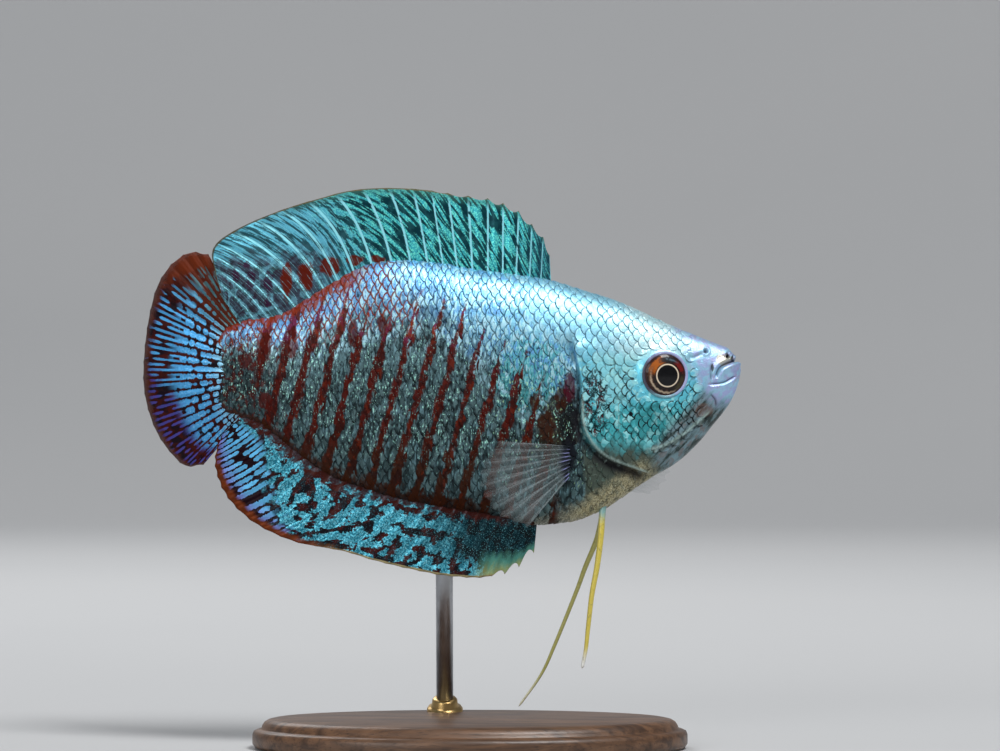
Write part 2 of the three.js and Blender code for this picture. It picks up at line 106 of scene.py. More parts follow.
def unit(vectors):
    """The vectors at length 1."""
    return vectors / np.maximum(np.linalg.norm(vectors, axis=-1, keepdims=True), 1e-9)


def circle(count):
    """Angles of evenly spaced points round a circle."""
    return np.linspace(0, TURN_AROUND, count, endpoint=False)


def off_line(x, z, line):
    """Distance of side-view points from a smooth line through stations, positive on the left of its run,
    and the share of the line where the nearest spot lies. The line is cut into short straight pieces."""
    path = spline(line, np.linspace(0, 1, 5 * len(line)))
    start = path[:-1]
    run = path[1:] - start
    out = np.stack([x, z], -1)[..., None, :] - start
    t = np.clip((out * run).sum(-1) / (run**2).sum(-1), 0, 1)
    gap = np.linalg.norm(out - t[..., None] * run, axis=-1)
    side = np.sign(run[:, 0] * out[..., 1] - run[:, 1] * out[..., 0])
    nearest = gap.argmin(-1)[..., None]
    signed = np.take_along_axis(gap * side, nearest, -1)[..., 0]
    share = np.take_along_axis(np.arange(len(run)) + t, nearest, -1)[..., 0] / len(run)
    return signed, share


# Meshes


def grid_quads(rows, columns, closed=False, looped=False):
    """Quads between neighbouring points of a grid that is stored row by row. A closed grid joins its
    last column to its first, and a looped one its last row to its first."""
    index = np.arange(rows * columns).reshape(rows, columns)
    if closed:
        index = np.hstack([index, index[:, :1]])
    if looped:
        index = np.vstack([index, index[:1]])
    corners = [index[:-1, :-1], index[:-1, 1:], index[1:, 1:], index[1:, :-1]]
    return np.stack(corners, -1).reshape(-1, 4)


def capped(points, ends):
    """A closed grid of points, with a fan of triangles from its first and last row to an end point each."""
    rows, columns = points.shape[:2]
    first = np.arange(columns)
    following = np.roll(first, -1)
    last = (rows - 1) * columns
    start = np.stack([np.full(columns, rows * columns), following, first], -1)
    end = np.stack([last + first, last + following, np.full(columns, rows * columns + 1)], -1)
    faces = [grid_quads(rows, columns, closed=True), start, end]
    return np.vstack([points.reshape(-1, 3), ends]), faces


def new_object(name, points, faces, paint):
    """A smooth-shaded mesh from points in metres and arrays of faces."""
    mesh = bpy.data.meshes.new(name)
    corners = [face for group in faces for face in group.tolist()]
    mesh.from_pydata(points.tolist(), [], corners)
    mesh.polygons.foreach_set("use_smooth", np.ones(len(mesh.polygons), bool))
    mesh.materials.append(paint)
    made = bpy.data.objects.new(name, mesh)
    bpy.context.scene.collection.objects.link(made)
    return made


def make_piece(name, points, faces, paint, replaced=(), values=None, bake=None, origin=FISH_ORIGIN):
    """A piece of the model from points in millimetres, with point values by name and its place on the
    unwrap. It rides on the one body and stands for the nodes that it replaces."""
    piece = new_object(name, (points.reshape(-1, 3) + origin) * MM, faces, paint)
    mesh = piece.data
    for key, data in (values or {}).items():
        attribute = mesh.attributes.new(key, "FLOAT", "POINT")
        attribute.data.foreach_set("value", np.ravel(data).astype(np.float32))
    if bake is not None:
        corner_points = np.empty(len(mesh.loops), np.int32)
        mesh.loops.foreach_get("vertex_index", corner_points)
        layer = mesh.uv_layers.new(name="OFBake")
        layer.data.foreach_set("uv", bake.reshape(-1, 2)[corner_points].ravel())
    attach(piece, "root")
    if replaced:
        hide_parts(*replaced)


def turned(profile, centre, axis, side_way, sides):
    """A closed turned solid: the profile of (radius, height) stations is carried round the axis through
    the centre. It runs from the axis at the foot to the axis at the head."""
    profile = np.array(profile, float)
    axis, side_way = unit(np.array(axis, float)), unit(np.array(side_way, float))
    third = np.cross(axis, side_way)
    angle = circle(sides)
    spoke = np.cos(angle)[:, None] * side_way + np.sin(angle)[:, None] * third
    rings = profile[1:-1, 0, None, None] * spoke + profile[1:-1, 1, None, None] * axis
    ends = profile[[0, -1], 1, None] * axis
    return capped(rings + centre, ends + centre)


# The body's outline from the side, its half width and the fullness of its sections, all along X. Behind
# TAIL_END the flesh thins out over the roots of the tail fin's rays.
TAIL_END, SNOUT = -27.2, 40.1
FLESH_END = -30.4
BEND = {"start": -12.0, "rate": 0.01}  # the spine turns left behind the start, by rate * distance^2
body_top = smooth_curve([
    [FLESH_END, 2.6], [-29.4, 4.6], [-28.4, 5.6], [TAIL_END, 6.1], [-25.6, 6.6], [-23.3, 6.8],
    [-20.7, 7.5], [-18.7, 8.7], [-14.7, 11.2], [-10.7, 13.4], [-8, 14.2], [-5, 14.4], [0, 14], [4, 13.3],
    [10.7, 12.4], [14.8, 11.7], [18.7, 10.5], [24, 8.8], [29.3, 6.4], [34.7, 4.1], [37.4, 3.05],
    [38.2, 2.75], [38.9, 2.1], [39.25, 1.4], [39.7, 0.75], [SNOUT, 0.0],
])
body_bottom = smooth_curve([
    [FLESH_END, -3.2], [-29.4, -5.2], [-28.4, -6.1], [TAIL_END, -6.5], [-24.7, -7.2], [-22.7, -8.5],
    [-20.7, -10.1], [-18.7, -11.7], [-16, -13.6], [-13.3, -15], [-5.3, -17.5], [0, -18.5], [8, -19.8],
    [12.8, -20.9], [17.3, -20.5], [20, -19.7], [22.1, -18.7], [25.3, -16.6], [28, -14.8], [31.7, -12.5],
    [34.7, -9.7], [36.3, -7.7], [38, -5.6], [39.1, -3.8], [39.8, -1.9], [SNOUT, -0.5],
])
body_half_width = smooth_curve([
    [FLESH_END, 0.16], [-29, 0.45], [TAIL_END, 0.85], [-25.5, 1.3], [-21, 2], [-16, 2.75], [-10, 3.6],
    [-4, 4.4], [2, 5], [8, 5.5], [13, 5.7], [18, 5.55], [22, 5.2], [26, 4.75], [30, 4.15], [33, 3.55],
    [36, 2.75], [37.8, 2.15], [39, 1.5], [39.8, 0.8], [SNOUT, 0.25],
])
upper_pinch = smooth_curve([[TAIL_END, 1.1], [-10, 1.25], [8, 1.1], [22, 0.85], [36, 0.75]])
lower_pinch = smooth_curve([[TAIL_END, 1.1], [-6, 1.35], [8, 1.05], [18, 0.85], [28, 0.95], [36, 0.8]])


def spine_side(x):
    """How far the spine has turned to the left at X."""
    return BEND["rate"] * np.minimum(x - BEND["start"], 0) ** 2


def plain_section(x, turn):
    """Point of the plain body at X and a turn round its section, which runs from the back over the right
    side: the height goes as the turn's cosine, the width as a power of its sine."""
    x, turn = np.broadcast_arrays(x, turn)
    top, bottom = body_top(x), body_bottom(x)
    rise, across = np.cos(TURN_AROUND * turn), np.sin(TURN_AROUND * turn)
    pinch = np.where(rise > 0, upper_pinch(x), lower_pinch(x))
    width = body_half_width(x) * np.abs(across) ** pinch
    side = spine_side(x) - np.sign(across) * width
    return np.stack([x, side, (top + bottom) / 2 + rise * (top - bottom) / 2], -1)


def half_width_at(x, z):
    """Half the plain body's width at X and a height."""
    top, bottom = body_top(x), body_bottom(x)
    rise = np.clip((2 * z - top - bottom) / (top - bottom), -1, 1)
    pinch = np.where(rise > 0, upper_pinch(x), lower_pinch(x))
    return body_half_width(x) * np.sqrt(1 - rise**2) ** pinch


# The head's lines as the camera sees them from the side
GILL_SLIT = [[17.8, 4.6], [17.7, 2.5], [18.5, -1], [18.6, -4.3], [18.8, -7.6], [20.3, -10.5], [22.6, -12.3],
             [25.6, -13.4], [28, -14.3]]
CHEEK_FOLD = [[23.7, -3.4], [23.5, -6], [24.1, -9], [26.2, -11], [29.3, -10.9], [32, -9.5], [34.2, -7.8],
              [36.4, -5.8]]
GAPE = [[41, 1.2], [39.4, 1.0], [38.4, 0.7], [37.4, 0.2], [36.9, -0.5], [36.7, -1.4]]
LIP_FOLD = [[39.7, -1.0], [38.9, -1.35], [38, -1.85], [36.8, -2.1], [35.2, -2.15]]
LIP_CREASES = ([[38.3, 2.2], [38.35, 1.7], [38.1, 1.1]], [[38.95, 1.75], [38.9, 1.3]],
               [[36.2, 0.6], [36, -0.6], [36.1, -1.9]], [[35.9, -3.4], [36.6, -4.2], [36.8, -5.2]])
NOSTRIL_GROOVE = [[32.9, 1.2], [34, 1.55], [35.1, 2.15]]
NOSTRILS = [{"x": 35.35, "z": 2.25, "radius": 0.26}, {"x": 33.3, "z": 1.75, "radius": 0.2}]
LIP_PITS = [{"x": 38.3, "z": 1.5, "radius": 0.2}, {"x": 38.85, "z": 1.35, "radius": 0.16}]
HEAD_START = 14.0


def faded_line(x, z, line, start, end):
    """Distance from a line, the share along it, and its strength: it rises from 0 to 1 up to the share
    start, and falls back to 0 after the share end."""
    gap, share = off_line(x, z, line)
    return gap, share, step(share, 0, start) * step(share, 1, end)


def head_relief(x, z):
    """Height of the head's forms over the plain body, the shade in their grooves and the light on their
    crests: for each line a groove and the swellings beside it, as bell curves of the distance, faded out
    at the line's ends."""
    gill, share, ends = faded_line(x, z, GILL_SLIT, 0.14, 0.93)
    cover = 0.36 * step(gill, -0.12, 0.14) * bell(np.maximum(gill, 0), 2.6)
    height = ends * (cover - 0.5 * bell(gill + 0.24, 0.26) - 0.16 * bell(gill + 1.1, 0.9))
    low = step(share, 0.35, 0.6)
    shade = ends * bell(gill + 0.25 + 0.3 * low, 0.42 + 0.4 * low)
    crest_highlight = 0.8 * step(share, 0.3, 0.45) * ends * bell(gill - 0.3, 0.16)
    fold, share, ends = faded_line(x, z, CHEEK_FOLD, 0.1, 0.94)
    jaw_ridge = 0.2 * step(share, 0.5, 0.7) * bell(fold - 0.5, 0.3)
    height += ends * (jaw_ridge - 0.2 * bell(fold, 0.2))
    shade += 0.55 * ends * bell(fold, 0.2) * step(share, 0.3, 0.5)
    crest_highlight += ends * bell(fold - 0.42, 0.2) * step(share, 0.45, 0.55) * 0.6
    crest_highlight += ends * bell(fold, 0.16) * step(share, 0.3, 0.15) * 0.7
    gape, share = off_line(x, z, GAPE)
    ends = step(share, 1, 0.86)
    lips = 0.18 * bell(gape + 0.5, 0.36) + 0.28 * bell(gape - 0.6, 0.4)
    height += ends * (lips - 0.4 * bell(gape, 0.17))
    shade += 0.85 * ends * bell(gape, 0.14)
    crest_highlight += 0.1 * ends * bell(gape + 0.55, 0.2)
    fold, _, ends = faded_line(x, z, LIP_FOLD, 0.25, 0.8)
    height += ends * (0.1 * bell(fold + 0.5, 0.3) + 0.12 * bell(fold - 0.5, 0.4) - 0.26 * bell(fold, 0.15))
    shade += 0.65 * ends * bell(fold, 0.13)
    for line in (*LIP_CREASES, NOSTRIL_GROOVE):
        crease, _, ends = faded_line(x, z, line, 0.2, 0.8)
        height -= 0.2 * ends * bell(crease, 0.14)
        shade += 0.7 * ends * bell(crease, 0.13)
    for hole in NOSTRILS + LIP_PITS:
        away = np.hypot(x - hole["x"], z - hole["z"])
        pit, rim = bell(away, hole["radius"]), bell(away - 1.7 * hole["radius"], 0.13)
        height += 0.12 * rim - 0.5 * pit
        shade += pit
    return height, np.clip(shade, 0, 1), np.clip(crest_highlight, 0, 1)


def bareness(x, z):
    """Share of bare skin at a side-view point: the snout, the lips and the lower jaw carry no scales."""
    fold, _ = off_line(x, z, CHEEK_FOLD)
    jaw = step(fold, 0.3, -0.3) * step(x, 27, 30) * step(z, 2, -2)
    return np.maximum(step(x + 0.2 * z, 33.2, 34.6), jaw)


def eye_frame(side):
    """The eye's centre and its forward, upward and outward directions."""
    out_y = half_width_at(EYE["x"], EYE["z"]) + EYE["bulge"] - EYE["depth"]
    turn = EYE["forward"]
    forward = np.array([np.cos(turn), -side * np.sin(turn), 0])
    outward = np.array([np.sin(turn), side * np.cos(turn), 0])
    return np.array([EYE["x"], side * out_y, EYE["z"]]), forward, np.array([0, 0, 1.0]), outward


# The socket's heights along the eye's axis, and the radii where it rises and blends into the head
SOCKET = {"floor": -0.3, "brim": 1.14, "inner": 2.5, "outer": 2.85, "fade": 4.2}


def fit_round_eyes(points):
    """The points near an eye's axis are moved along it: down into the socket inside the eye's edge, and
    to the brim's height just outside, blending back into the head at the fade radius."""
    for side in (RIGHT, LEFT):
        centre, forward, upward, outward = eye_frame(side)
        off = points - centre
        radius = np.hypot(off @ forward, off @ upward)
        height = off @ outward
        rise = step(radius, SOCKET["inner"], SOCKET["outer"])
        target = SOCKET["floor"] + (SOCKET["brim"] - SOCKET["floor"]) * rise
        weight = step(radius, SOCKET["fade"], SOCKET["outer"]) * (points[..., 1] * side > 0)
        points = points + ((target - height) * weight)[..., None] * outward
    return points


COAT_DEPTH = 0.17  # how far the skin lies below the plain body, for the scales on it
SLOPE_STEP = {"x": 0.05, "turn": 0.002}  # between the points that give a surface its direction


def body_surface(x, turn, lift):
    """Points of the finished body with the shade of their grooves and the light of their crests: the
    plain section moved outwards along its normal by the lift and the head's relief, less the coat's
    depth where scales grow."""
    x, turn, lift = np.broadcast_arrays(x, turn, lift)
    base = plain_section(x, turn)
    dx, dturn = SLOPE_STEP["x"], SLOPE_STEP["turn"]
    along = plain_section(x + dx, turn) - plain_section(x - dx, turn)
    around = plain_section(x, turn + dturn) - plain_section(x, turn - dturn)
    normal = unit(np.cross(around, along))
    height = lift - COAT_DEPTH
    shade, crest_highlight = np.zeros(x.shape), np.zeros(x.shape)
    head = x > HEAD_START
    relief, shade[head], crest_highlight[head] = head_relief(x[head], base[head][:, 2])
    height[head] += relief + COAT_DEPTH * bareness(x[head], base[head][:, 2])
    height = height * step(x, SNOUT, SNOUT - 0.25)
    return fit_round_eyes(base + height[..., None] * normal), shade, crest_highlight


# Node trees


class Signal:
    """A value in a material. Arithmetic on it adds Math nodes."""

    def __init__(self, paint, socket):
        self.paint = paint
        self.socket = socket

    def __add__(self, other):
        return self.paint.math("ADD", self, other)

    def __sub__(self, other):
        return self.paint.math("SUBTRACT", self, other)

    def __rsub__(self, other):
        return self.paint.math("SUBTRACT", other, self)

    def __mul__(self, other):
        return self.paint.math("MULTIPLY", self, other)

    def __truediv__(self, other):
        return self.paint.math("DIVIDE", self, other)

    __radd__ = __add__
    __rmul__ = __mul__


class Paint:
    """A material with its Principled shader, and the makers of its nodes."""

    def __init__(self, name, **fixed):
        self.material = bpy.data.materials.new(name)
        self.material.use_nodes = True
        self.tree = self.material.node_tree
        self.shader = self.tree.nodes["Principled BSDF"]
        for key, value in fixed.items():
            self.shader.inputs[key.replace("_", " ")].default_value = value

    def node(self, kind, settings=None, sockets=None, output=0):
        """A node of a kind, its settings made first, then the values or links of its sockets."""
        made = self.tree.nodes.new(kind)
        for key, value in (settings or {}).items():
            setattr(made, key, value)
        for key, value in (sockets or {}).items():
            if isinstance(value, Signal):
                self.tree.links.new(value.socket, made.inputs[key])
            else:
                made.inputs[key].default_value = value
        return Signal(self, made.outputs[output])

    def math(self, operation, *values):
        return self.node("ShaderNodeMath", {"operation": operation}, dict(enumerate(values)))

    def step(self, value, low, high):
        """Smooth step, 0 at low and 1 at high. It falls where low is above high."""
        sockets = {"Value": value, "From Min": low, "From Max": high}
        return self.node("ShaderNodeMapRange", {"interpolation_type": "SMOOTHSTEP"}, sockets)

    def larger(self, first, second):
        return self.math("MAXIMUM", first, second)

    def mix(self, share, first, second):
        """A colour that goes from the first to the second with the share."""
        sockets = {0: share, 6: self.colour(first), 7: self.colour(second)}
        return self.node("ShaderNodeMix", {"data_type": "RGBA"}, sockets, 2)

    def layers(self, base, *coats):
        """The base colour under coats of (share, colour), each laid over those before it."""
        for share, tone in coats:
            base = self.mix(share, base, tone)
        return base

    def colour(self, value):
        return value if isinstance(value, Signal) else (*value, 1.0)

    def place(self):
        """Position in the fish's frame, in millimetres, kept together with its parts x, y and z."""
        here = self.node("ShaderNodeTexCoord", output=3)
        sockets = {0: here, 1: (1 / MM,) * 3, 2: tuple(-FISH_ORIGIN)}
        here = self.node("ShaderNodeVectorMath", {"operation": "MULTIPLY_ADD"}, sockets)
        parts = self.node("ShaderNodeSeparateXYZ", sockets={0: here}).socket.node.outputs
        self.x, self.y, self.z = (Signal(self, part) for part in parts)
        return here

    def join(self, x, y, z=0.0):
        return self.node("ShaderNodeCombineXYZ", sockets={0: x, 1: y, 2: z})

    def value_of(self, name):
        """One of the piece's own point values."""
        return self.node("ShaderNodeAttribute", {"attribute_name": name}, output=2)

    def noise(self, vector, scale, detail=2.0, distortion=0.0):
        """Cloudy noise from 0 to 1, with its bumps about one scale-th of a unit apart."""
        sockets = {"Vector": vector, "Scale": scale, "Detail": detail, "Distortion": distortion}
        return self.node("ShaderNodeTexNoise", None, sockets)

    def blot(self, centre, size, fuzz):
        """Soft oval spot in side view, with its middle (x, z) and half sizes, its outline moved by fuzz."""
        across = (self.x - centre[0]) / size[0]
        up = (self.z - centre[1]) / size[1]
        away = self.math("SQRT", across * across + up * up)
        return self.step(away + fuzz, 1.15, 0.8)

    def spots(self, base, spots, fuzz, share, tone):
        """The base colour under soft spots of one tone."""
        return self.layers(base, *((self.blot(*spot, fuzz) * share, tone) for spot in spots))

    def finish(self, normal_height=None, distance=0.05, strength=0.5, **links):
        """Links the named inputs of the shader, and a bump of so many millimetres."""
        for key, value in links.items():
            self.tree.links.new(value.socket, self.shader.inputs[key.replace("_", " ")])
        if normal_height is not None:
            sockets = {"Height": normal_height, "Distance": distance * MM, "Strength": strength}
            bump = self.node("ShaderNodeBump", None, sockets)
            self.tree.links.new(bump.socket, self.shader.inputs["Normal"])
        return self.material


# Tones by the part of the fish that they colour
# Some trunk tones stand for light: the icy back is partly painted light from above, and there are a painted
# shadow behind the gill cover, the gill slit's dark red that is partly painted shade, painted shade at the
# side fin's root and in grooves, and a painted highlight on crests
TRUNK = dict(
    ice=(0.23, 0.58, 0.76), ice_white=(0.46, 0.78, 0.92), powder_blue=(0.16, 0.42, 0.80),
    deep_blue=(0.10, 0.36, 0.58), silver_teal=(0.12, 0.22, 0.25), steel_teal=(0.028, 0.058, 0.064),
    turquoise=(0.05, 0.46, 0.50), flake=(0.16, 0.32, 0.38), lens=(0.11, 0.19, 0.20),
    stem=(0.018, 0.030, 0.034), gill_cover_shadow=(0.035, 0.025, 0.012), ink=(0.004, 0.007, 0.010),
    mint=(0.50, 1.0, 0.86), lime=(0.55, 0.80, 0.32), wine=(0.11, 0.006, 0.010), gill_slit_red_and_shade=(0.09, 0.006, 0.018),
    fin_root_shade=(0.003, 0.004, 0.010), blue_rim=(0.02, 0.09, 0.17), groove=(0.012, 0.010, 0.014),
    crest_highlight=(0.62, 0.86, 0.80),
)
BARS = dict(
    red=(0.076, 0.004, 0.001), dark=(0.022, 0.003, 0.002), bright=(0.13, 0.014, 0.002),
    brown=(0.045, 0.010, 0.002), violet=(0.16, 0.014, 0.06), orange=(0.26, 0.030, 0.004),
)
BELLY = dict(
    silver=(0.36, 0.38, 0.32), cream=(0.46, 0.42, 0.25), olive=(0.075, 0.10, 0.08),
    pore=(0.05, 0.045, 0.02), fleck=(0.66, 0.64, 0.46),
)
# The crown's tones carry painted highlight, and the glint tone is painted highlight on the cheek
HEAD = dict(
    ice=(0.52, 0.82, 0.88), crown=(0.68, 0.92, 0.96), pale_cyan=(0.18, 0.70, 0.90),
    cheek=(0.08, 0.52, 0.58), glint=(0.45, 0.96, 1.0), deep_cyan=(0.012, 0.16, 0.17),
    dark_cyan=(0.02, 0.14, 0.15), jaw=(0.085, 0.12, 0.12), jaw_pale=(0.24, 0.38, 0.44),
    jaw_crease=(0.02, 0.035, 0.035), jaw_rose=(0.20, 0.11, 0.085), snout=(0.40, 0.68, 0.90),
    lilac=(0.42, 0.50, 0.82), mauve=(0.50, 0.34, 0.50), lip=(0.58, 0.50, 0.34),
    lip_shade=(0.05, 0.022, 0.015),
)

# The bars: where the foremost crosses the height of BAR["level"], their spacing and their lean
BAR = {"x": 12.2, "level": -6.93, "spacing": 3.2, "lean": 0.27, "half": 0.115}
# Spots in side view: middle (x, z) and half sizes
RED_SPOTS = (((-23.4, 3), (0.9, 2.4)), ((-26, 1), (0.9, 1.0)), ((-23.3, -4.3), (0.9, 1.1)),
             ((-19.6, 3.2), (0.7, 2.2)), ((-11.5, 4.4), (0.7, 1.8)), ((-7.6, 5.6), (0.6, 1.7)))
BROWN_SPOTS = (((14.2, -7.6), (1.1, 2.2)), ((12.6, -4.6), (0.7, 1.2)), ((16.0, -4.0), (0.8, 1.8)))
LIP_SPOTS = (((36.2, 0.1), (0.22, 0.5)), ((38.0, 1.7), (0.5, 0.3)), ((38.9, 1.2), (0.25, 0.4)))
JAW_RUN = (0.66, 0.75)  # the way from the throat to the lips, along X and Z


def front_share(p, broad):
    """0 on the rear of the body and 1 on its front."""
    return p.step(p.x + broad * 6, -3, 15)


def trunk_colour(p, level, height, rim, tint, broad, patchy, strokes, fibres):
    """From the icy back down to the steel-teal flank, partly the fish's own colours and partly painted light
    from above, with upright strokes, a turquoise cloud, a painted shadow behind the gill cover, and red
    patches on the tail stem. Scales have a grey lens each."""
    x, z = p.x, p.z
    back = p.layers(
        p.mix(p.step(x + broad * 8, -8, 13), TRUNK["powder_blue"], TRUNK["ice"]),
        (p.step(fibres + strokes + tint * 0.4, 0.0, 0.24) * 0.7, TRUNK["ice_white"]),
        (p.step(fibres + strokes - tint * 0.3, -0.06, -0.26) * 0.45, TRUNK["deep_blue"]),
    )
    # Lighter above and darker below, strokes too: partly the fish's own colours, partly painted light from
    # above and painted shade towards the belly
    low = p.step(level + broad * 0.3 + front_share(p, broad) * 0.2, 0.35, -0.25)
    flank = p.mix(low, TRUNK["silver_teal"], TRUNK["steel_teal"])
    light_stroke = p.mix(p.step(height, 0.2, 0.6), TRUNK["silver_teal"], TRUNK["ice_white"])
    dark_stroke = p.mix(p.step(height, 0.2, 0.7), TRUNK["ink"], TRUNK["powder_blue"])
    flake = p.step(fibres + strokes * 0.5, 0.08, 0.2) * p.step(height, 0.9, 0.4)
    trunk = p.layers(
        p.mix(p.step(height, 0.38, 0.76), flank, back),
        (p.blot((11.8, -1.0), (4.6, 5.0), patchy * 1.5) * 0.6, TRUNK["turquoise"]),
        (p.step(strokes, 0.02, 0.12) * 0.85, light_stroke),
        (p.step(strokes, -0.02, -0.13) * 0.85, dark_stroke),
        (flake * 0.55, TRUNK["flake"]),
    )
    if rim is not None:
        lens = p.step(rim, 0.8, 0.5) * p.step(height, 0.5, 0.2)
        trunk = p.mix(lens * (0.45 + tint * 0.9), trunk, TRUNK["lens"])
    stem = p.step(x + patchy * 3, -21, -26) * p.step(level, 0.55, 0.2)
    stem_red = p.step(patchy + strokes * 0.4 + tint * 0.1, 0.02, 0.08) * p.step(x + z * 0.2, -21.0, -24.5)
    return p.layers(
        trunk,
        # Painted shadow behind the gill cover, and darker painted shade just behind the slit
        (p.blot((15.4, -8.0), (2.6, 4.6), patchy * 1.5) * 0.85, TRUNK["gill_cover_shadow"]),
        (p.blot((17.0, -6.4), (1.2, 3.4), patchy * 1.5) * 0.8, TRUNK["ink"]),
        (stem * 0.5, TRUNK["stem"]),
        (stem_red * 0.85, BARS["red"]),
    )


def head_colour(p, tint, broad, patchy, fibres):
    """Ice above with white patches of painted highlight, cyan on the cheek with painted glints and darker
    patches, olive below, the fall from light to dark being partly the fish's own colours and partly painted
    light from above; streaked grey on the jaw, lilac round the mouth and cream on the upper lip."""
    x, y, z = p.x, p.y, p.z
    face = z + patchy * 2.5 + tint * 1.6
    # Crown: icy tones with white patches of painted highlight
    crown = p.layers(
        HEAD["ice"],
        (p.step(patchy + tint * 0.4 + broad, -0.15, 0.25), HEAD["crown"]),
        (p.step(x + patchy * 4, 28, 21) * 0.8, TRUNK["ice"]),
    )
    glint = p.step(patchy + tint * 0.35, 0.03, 0.15) * p.step(z, 4, 0) * p.step(face, -10.5, -8.0)
    dark = p.step(patchy + tint * 0.2, -0.06, -0.18) * p.step(z, 2, -2)
    # Paler above and olive below, partly painted light from above; the glints are painted highlights
    cheek = p.layers(
        crown,
        (p.step(face, 3.4, -0.6), HEAD["pale_cyan"]),
        (p.step(face, -2.0, -7.0), HEAD["cheek"]),
        (glint * 0.8, HEAD["glint"]),
        (p.blot((22.6, -1.4), (3.0, 3.4), patchy * 2) * 0.5, HEAD["glint"]),
        (p.blot((28.6, -7.2), (3.4, 2.4), patchy * 2) * 0.45, HEAD["deep_cyan"]),
        (dark * 0.55, HEAD["dark_cyan"]),
        (p.step(face, -8.6, -12.0), BELLY["olive"]),
    )
    along_jaw = x * JAW_RUN[0] + z * JAW_RUN[1]
    across_jaw = z * JAW_RUN[0] - x * JAW_RUN[1]
    streaks = p.noise(p.join(along_jaw * 0.5, across_jaw * 2.4, y * 0.3), 1.0, 3.0) - 0.5
    jaw = p.layers(
        HEAD["jaw"],
        (p.step(streaks, -0.12, 0.2), HEAD["jaw_pale"]),
        (p.step(streaks + fibres * 0.3, -0.04, -0.12) * 0.7, HEAD["jaw_crease"]),
        (p.step(streaks + patchy, 0.08, 0.2) * 0.5, HEAD["jaw_rose"]),
        (p.blot((35.2, -5.7), (1.3, 0.9), patchy * 1.6) * 0.5, HEAD["jaw_rose"]),
    )
    snout = p.layers(
        HEAD["snout"],
        (p.step(patchy + streaks * 0.6, -0.12, 0.12), HEAD["lilac"]),
        (p.step(patchy - streaks, 0.1, 0.22) * 0.4, HEAD["mauve"]),
        (p.blot((37.7, 1.1), (1.1, 0.8), patchy * 1.4) * 0.8, HEAD["lip"]),
    )
    snout = p.spots(snout, LIP_SPOTS, patchy, 0.85, HEAD["lip_shade"])
    on_jaw = p.step(across_jaw + patchy, -27.4, -28.8) * p.step(x, 27, 30)
    on_snout = p.step(x + z * 0.45 + patchy * 2, 32.4, 35.0) * p.step(z + x * 0.3 + patchy * 2.5, 5.0, 8.4)
    return p.layers(cheek, (on_jaw, jaw), (on_snout * 0.95, snout))


def bar_marks(p, tint, broad, patchy, grain, strokes):
    """Share and colour of the bars. Each ends at a height of its own, thin and violet or orange upwards,
    and wide and brown towards the belly."""
    x, z = p.x, p.z
    phase = (x - BAR["x"] - (z - BAR["level"]) * BAR["lean"]) / BAR["spacing"]
    phase = phase + tint * 0.17 + broad * 0.1 + patchy * 0.16 + strokes * 0.12
    off = p.math("PINGPONG", phase, 0.5)
    number = p.math("FLOOR", phase + 0.5)
    top = p.noise(p.join(number * 3.7, 0.5), 1.0, 0.0) * 7 + 6.0 - p.larger(x + 1.0, 0.0) * 0.62
    half = p.step(z - top, -0.5, -6.5) * BAR["half"] + p.step(x, -8, -24) * 0.05 + 0.03
    half = half + p.step(z, -8, -14) * 0.04
    ragged = (grain - 0.5) * 0.12 + strokes * 0.25 + patchy * 0.15
    bars = p.step(off - half + ragged, 0.05, -0.03) * p.step(z - top, 1.0, 0.0)
    bars = bars * p.step(x + z * 0.1, 14.6, 13.0) * p.step(x, -25.5, -24.0)
    upper = p.mix(p.step(broad + patchy, -0.02, 0.06), BARS["orange"], BARS["violet"])
    colour = p.layers(
        BARS["red"],
        (p.step(z + patchy * 4, -6, -14), BARS["brown"]),
        (p.step(z + patchy * 6, 2.5, 6.0), upper),
        (p.step(patchy + tint * 0.25, 0.02, -0.10) * 0.7, BARS["dark"]),
        (p.step(patchy - tint * 0.25, 0.08, 0.18) * 0.6, BARS["bright"]),
    )
    return bars, colour


def outline_marks(p, here, level, height, rim, rear_back, patchy, strokes, fibres):
    """Share and colour of the scales' rims: dark blue on the back, near black on the flank and cheek,
    broken on the cheek, faint on the throat and on the brightest back, orange-red on the rear back."""
    x, z = p.x, p.z
    low_face = p.step(x, 18, 20) * p.step(z, 3, -2)
    broken = p.step(p.noise(here, 0.9, 2.0), 0.60, 0.40)
    throat = p.step(x + z * 0.3, 7.5, 10.5) * p.step(z, -9.0, -10.5)
    edge = p.step(rim + low_face * 0.09 + rear_back * 0.10 + patchy * 0.3 + strokes * 0.2, 0.80, 0.95)
    edge = edge * (1 - throat * 0.75) * (1 - low_face * (1 - broken) * 0.65)
    faint = p.step(level, 0.45, 0.2) * p.step(x, 18, 15) * p.step(level, -0.9, -0.5)
    faint = faint + p.step(height + fibres * 2, 0.9, 1.3) * p.step(x, -6, 4)
    edge = edge * (0.68 + low_face * 0.3 + rear_back * 0.2 - faint * 0.3)
    colour = p.mix(p.larger(p.step(level, 0.65, 0.35), low_face), TRUNK["blue_rim"], TRUNK["ink"])
    return edge, p.mix(rear_back, colour, BARS["orange"])


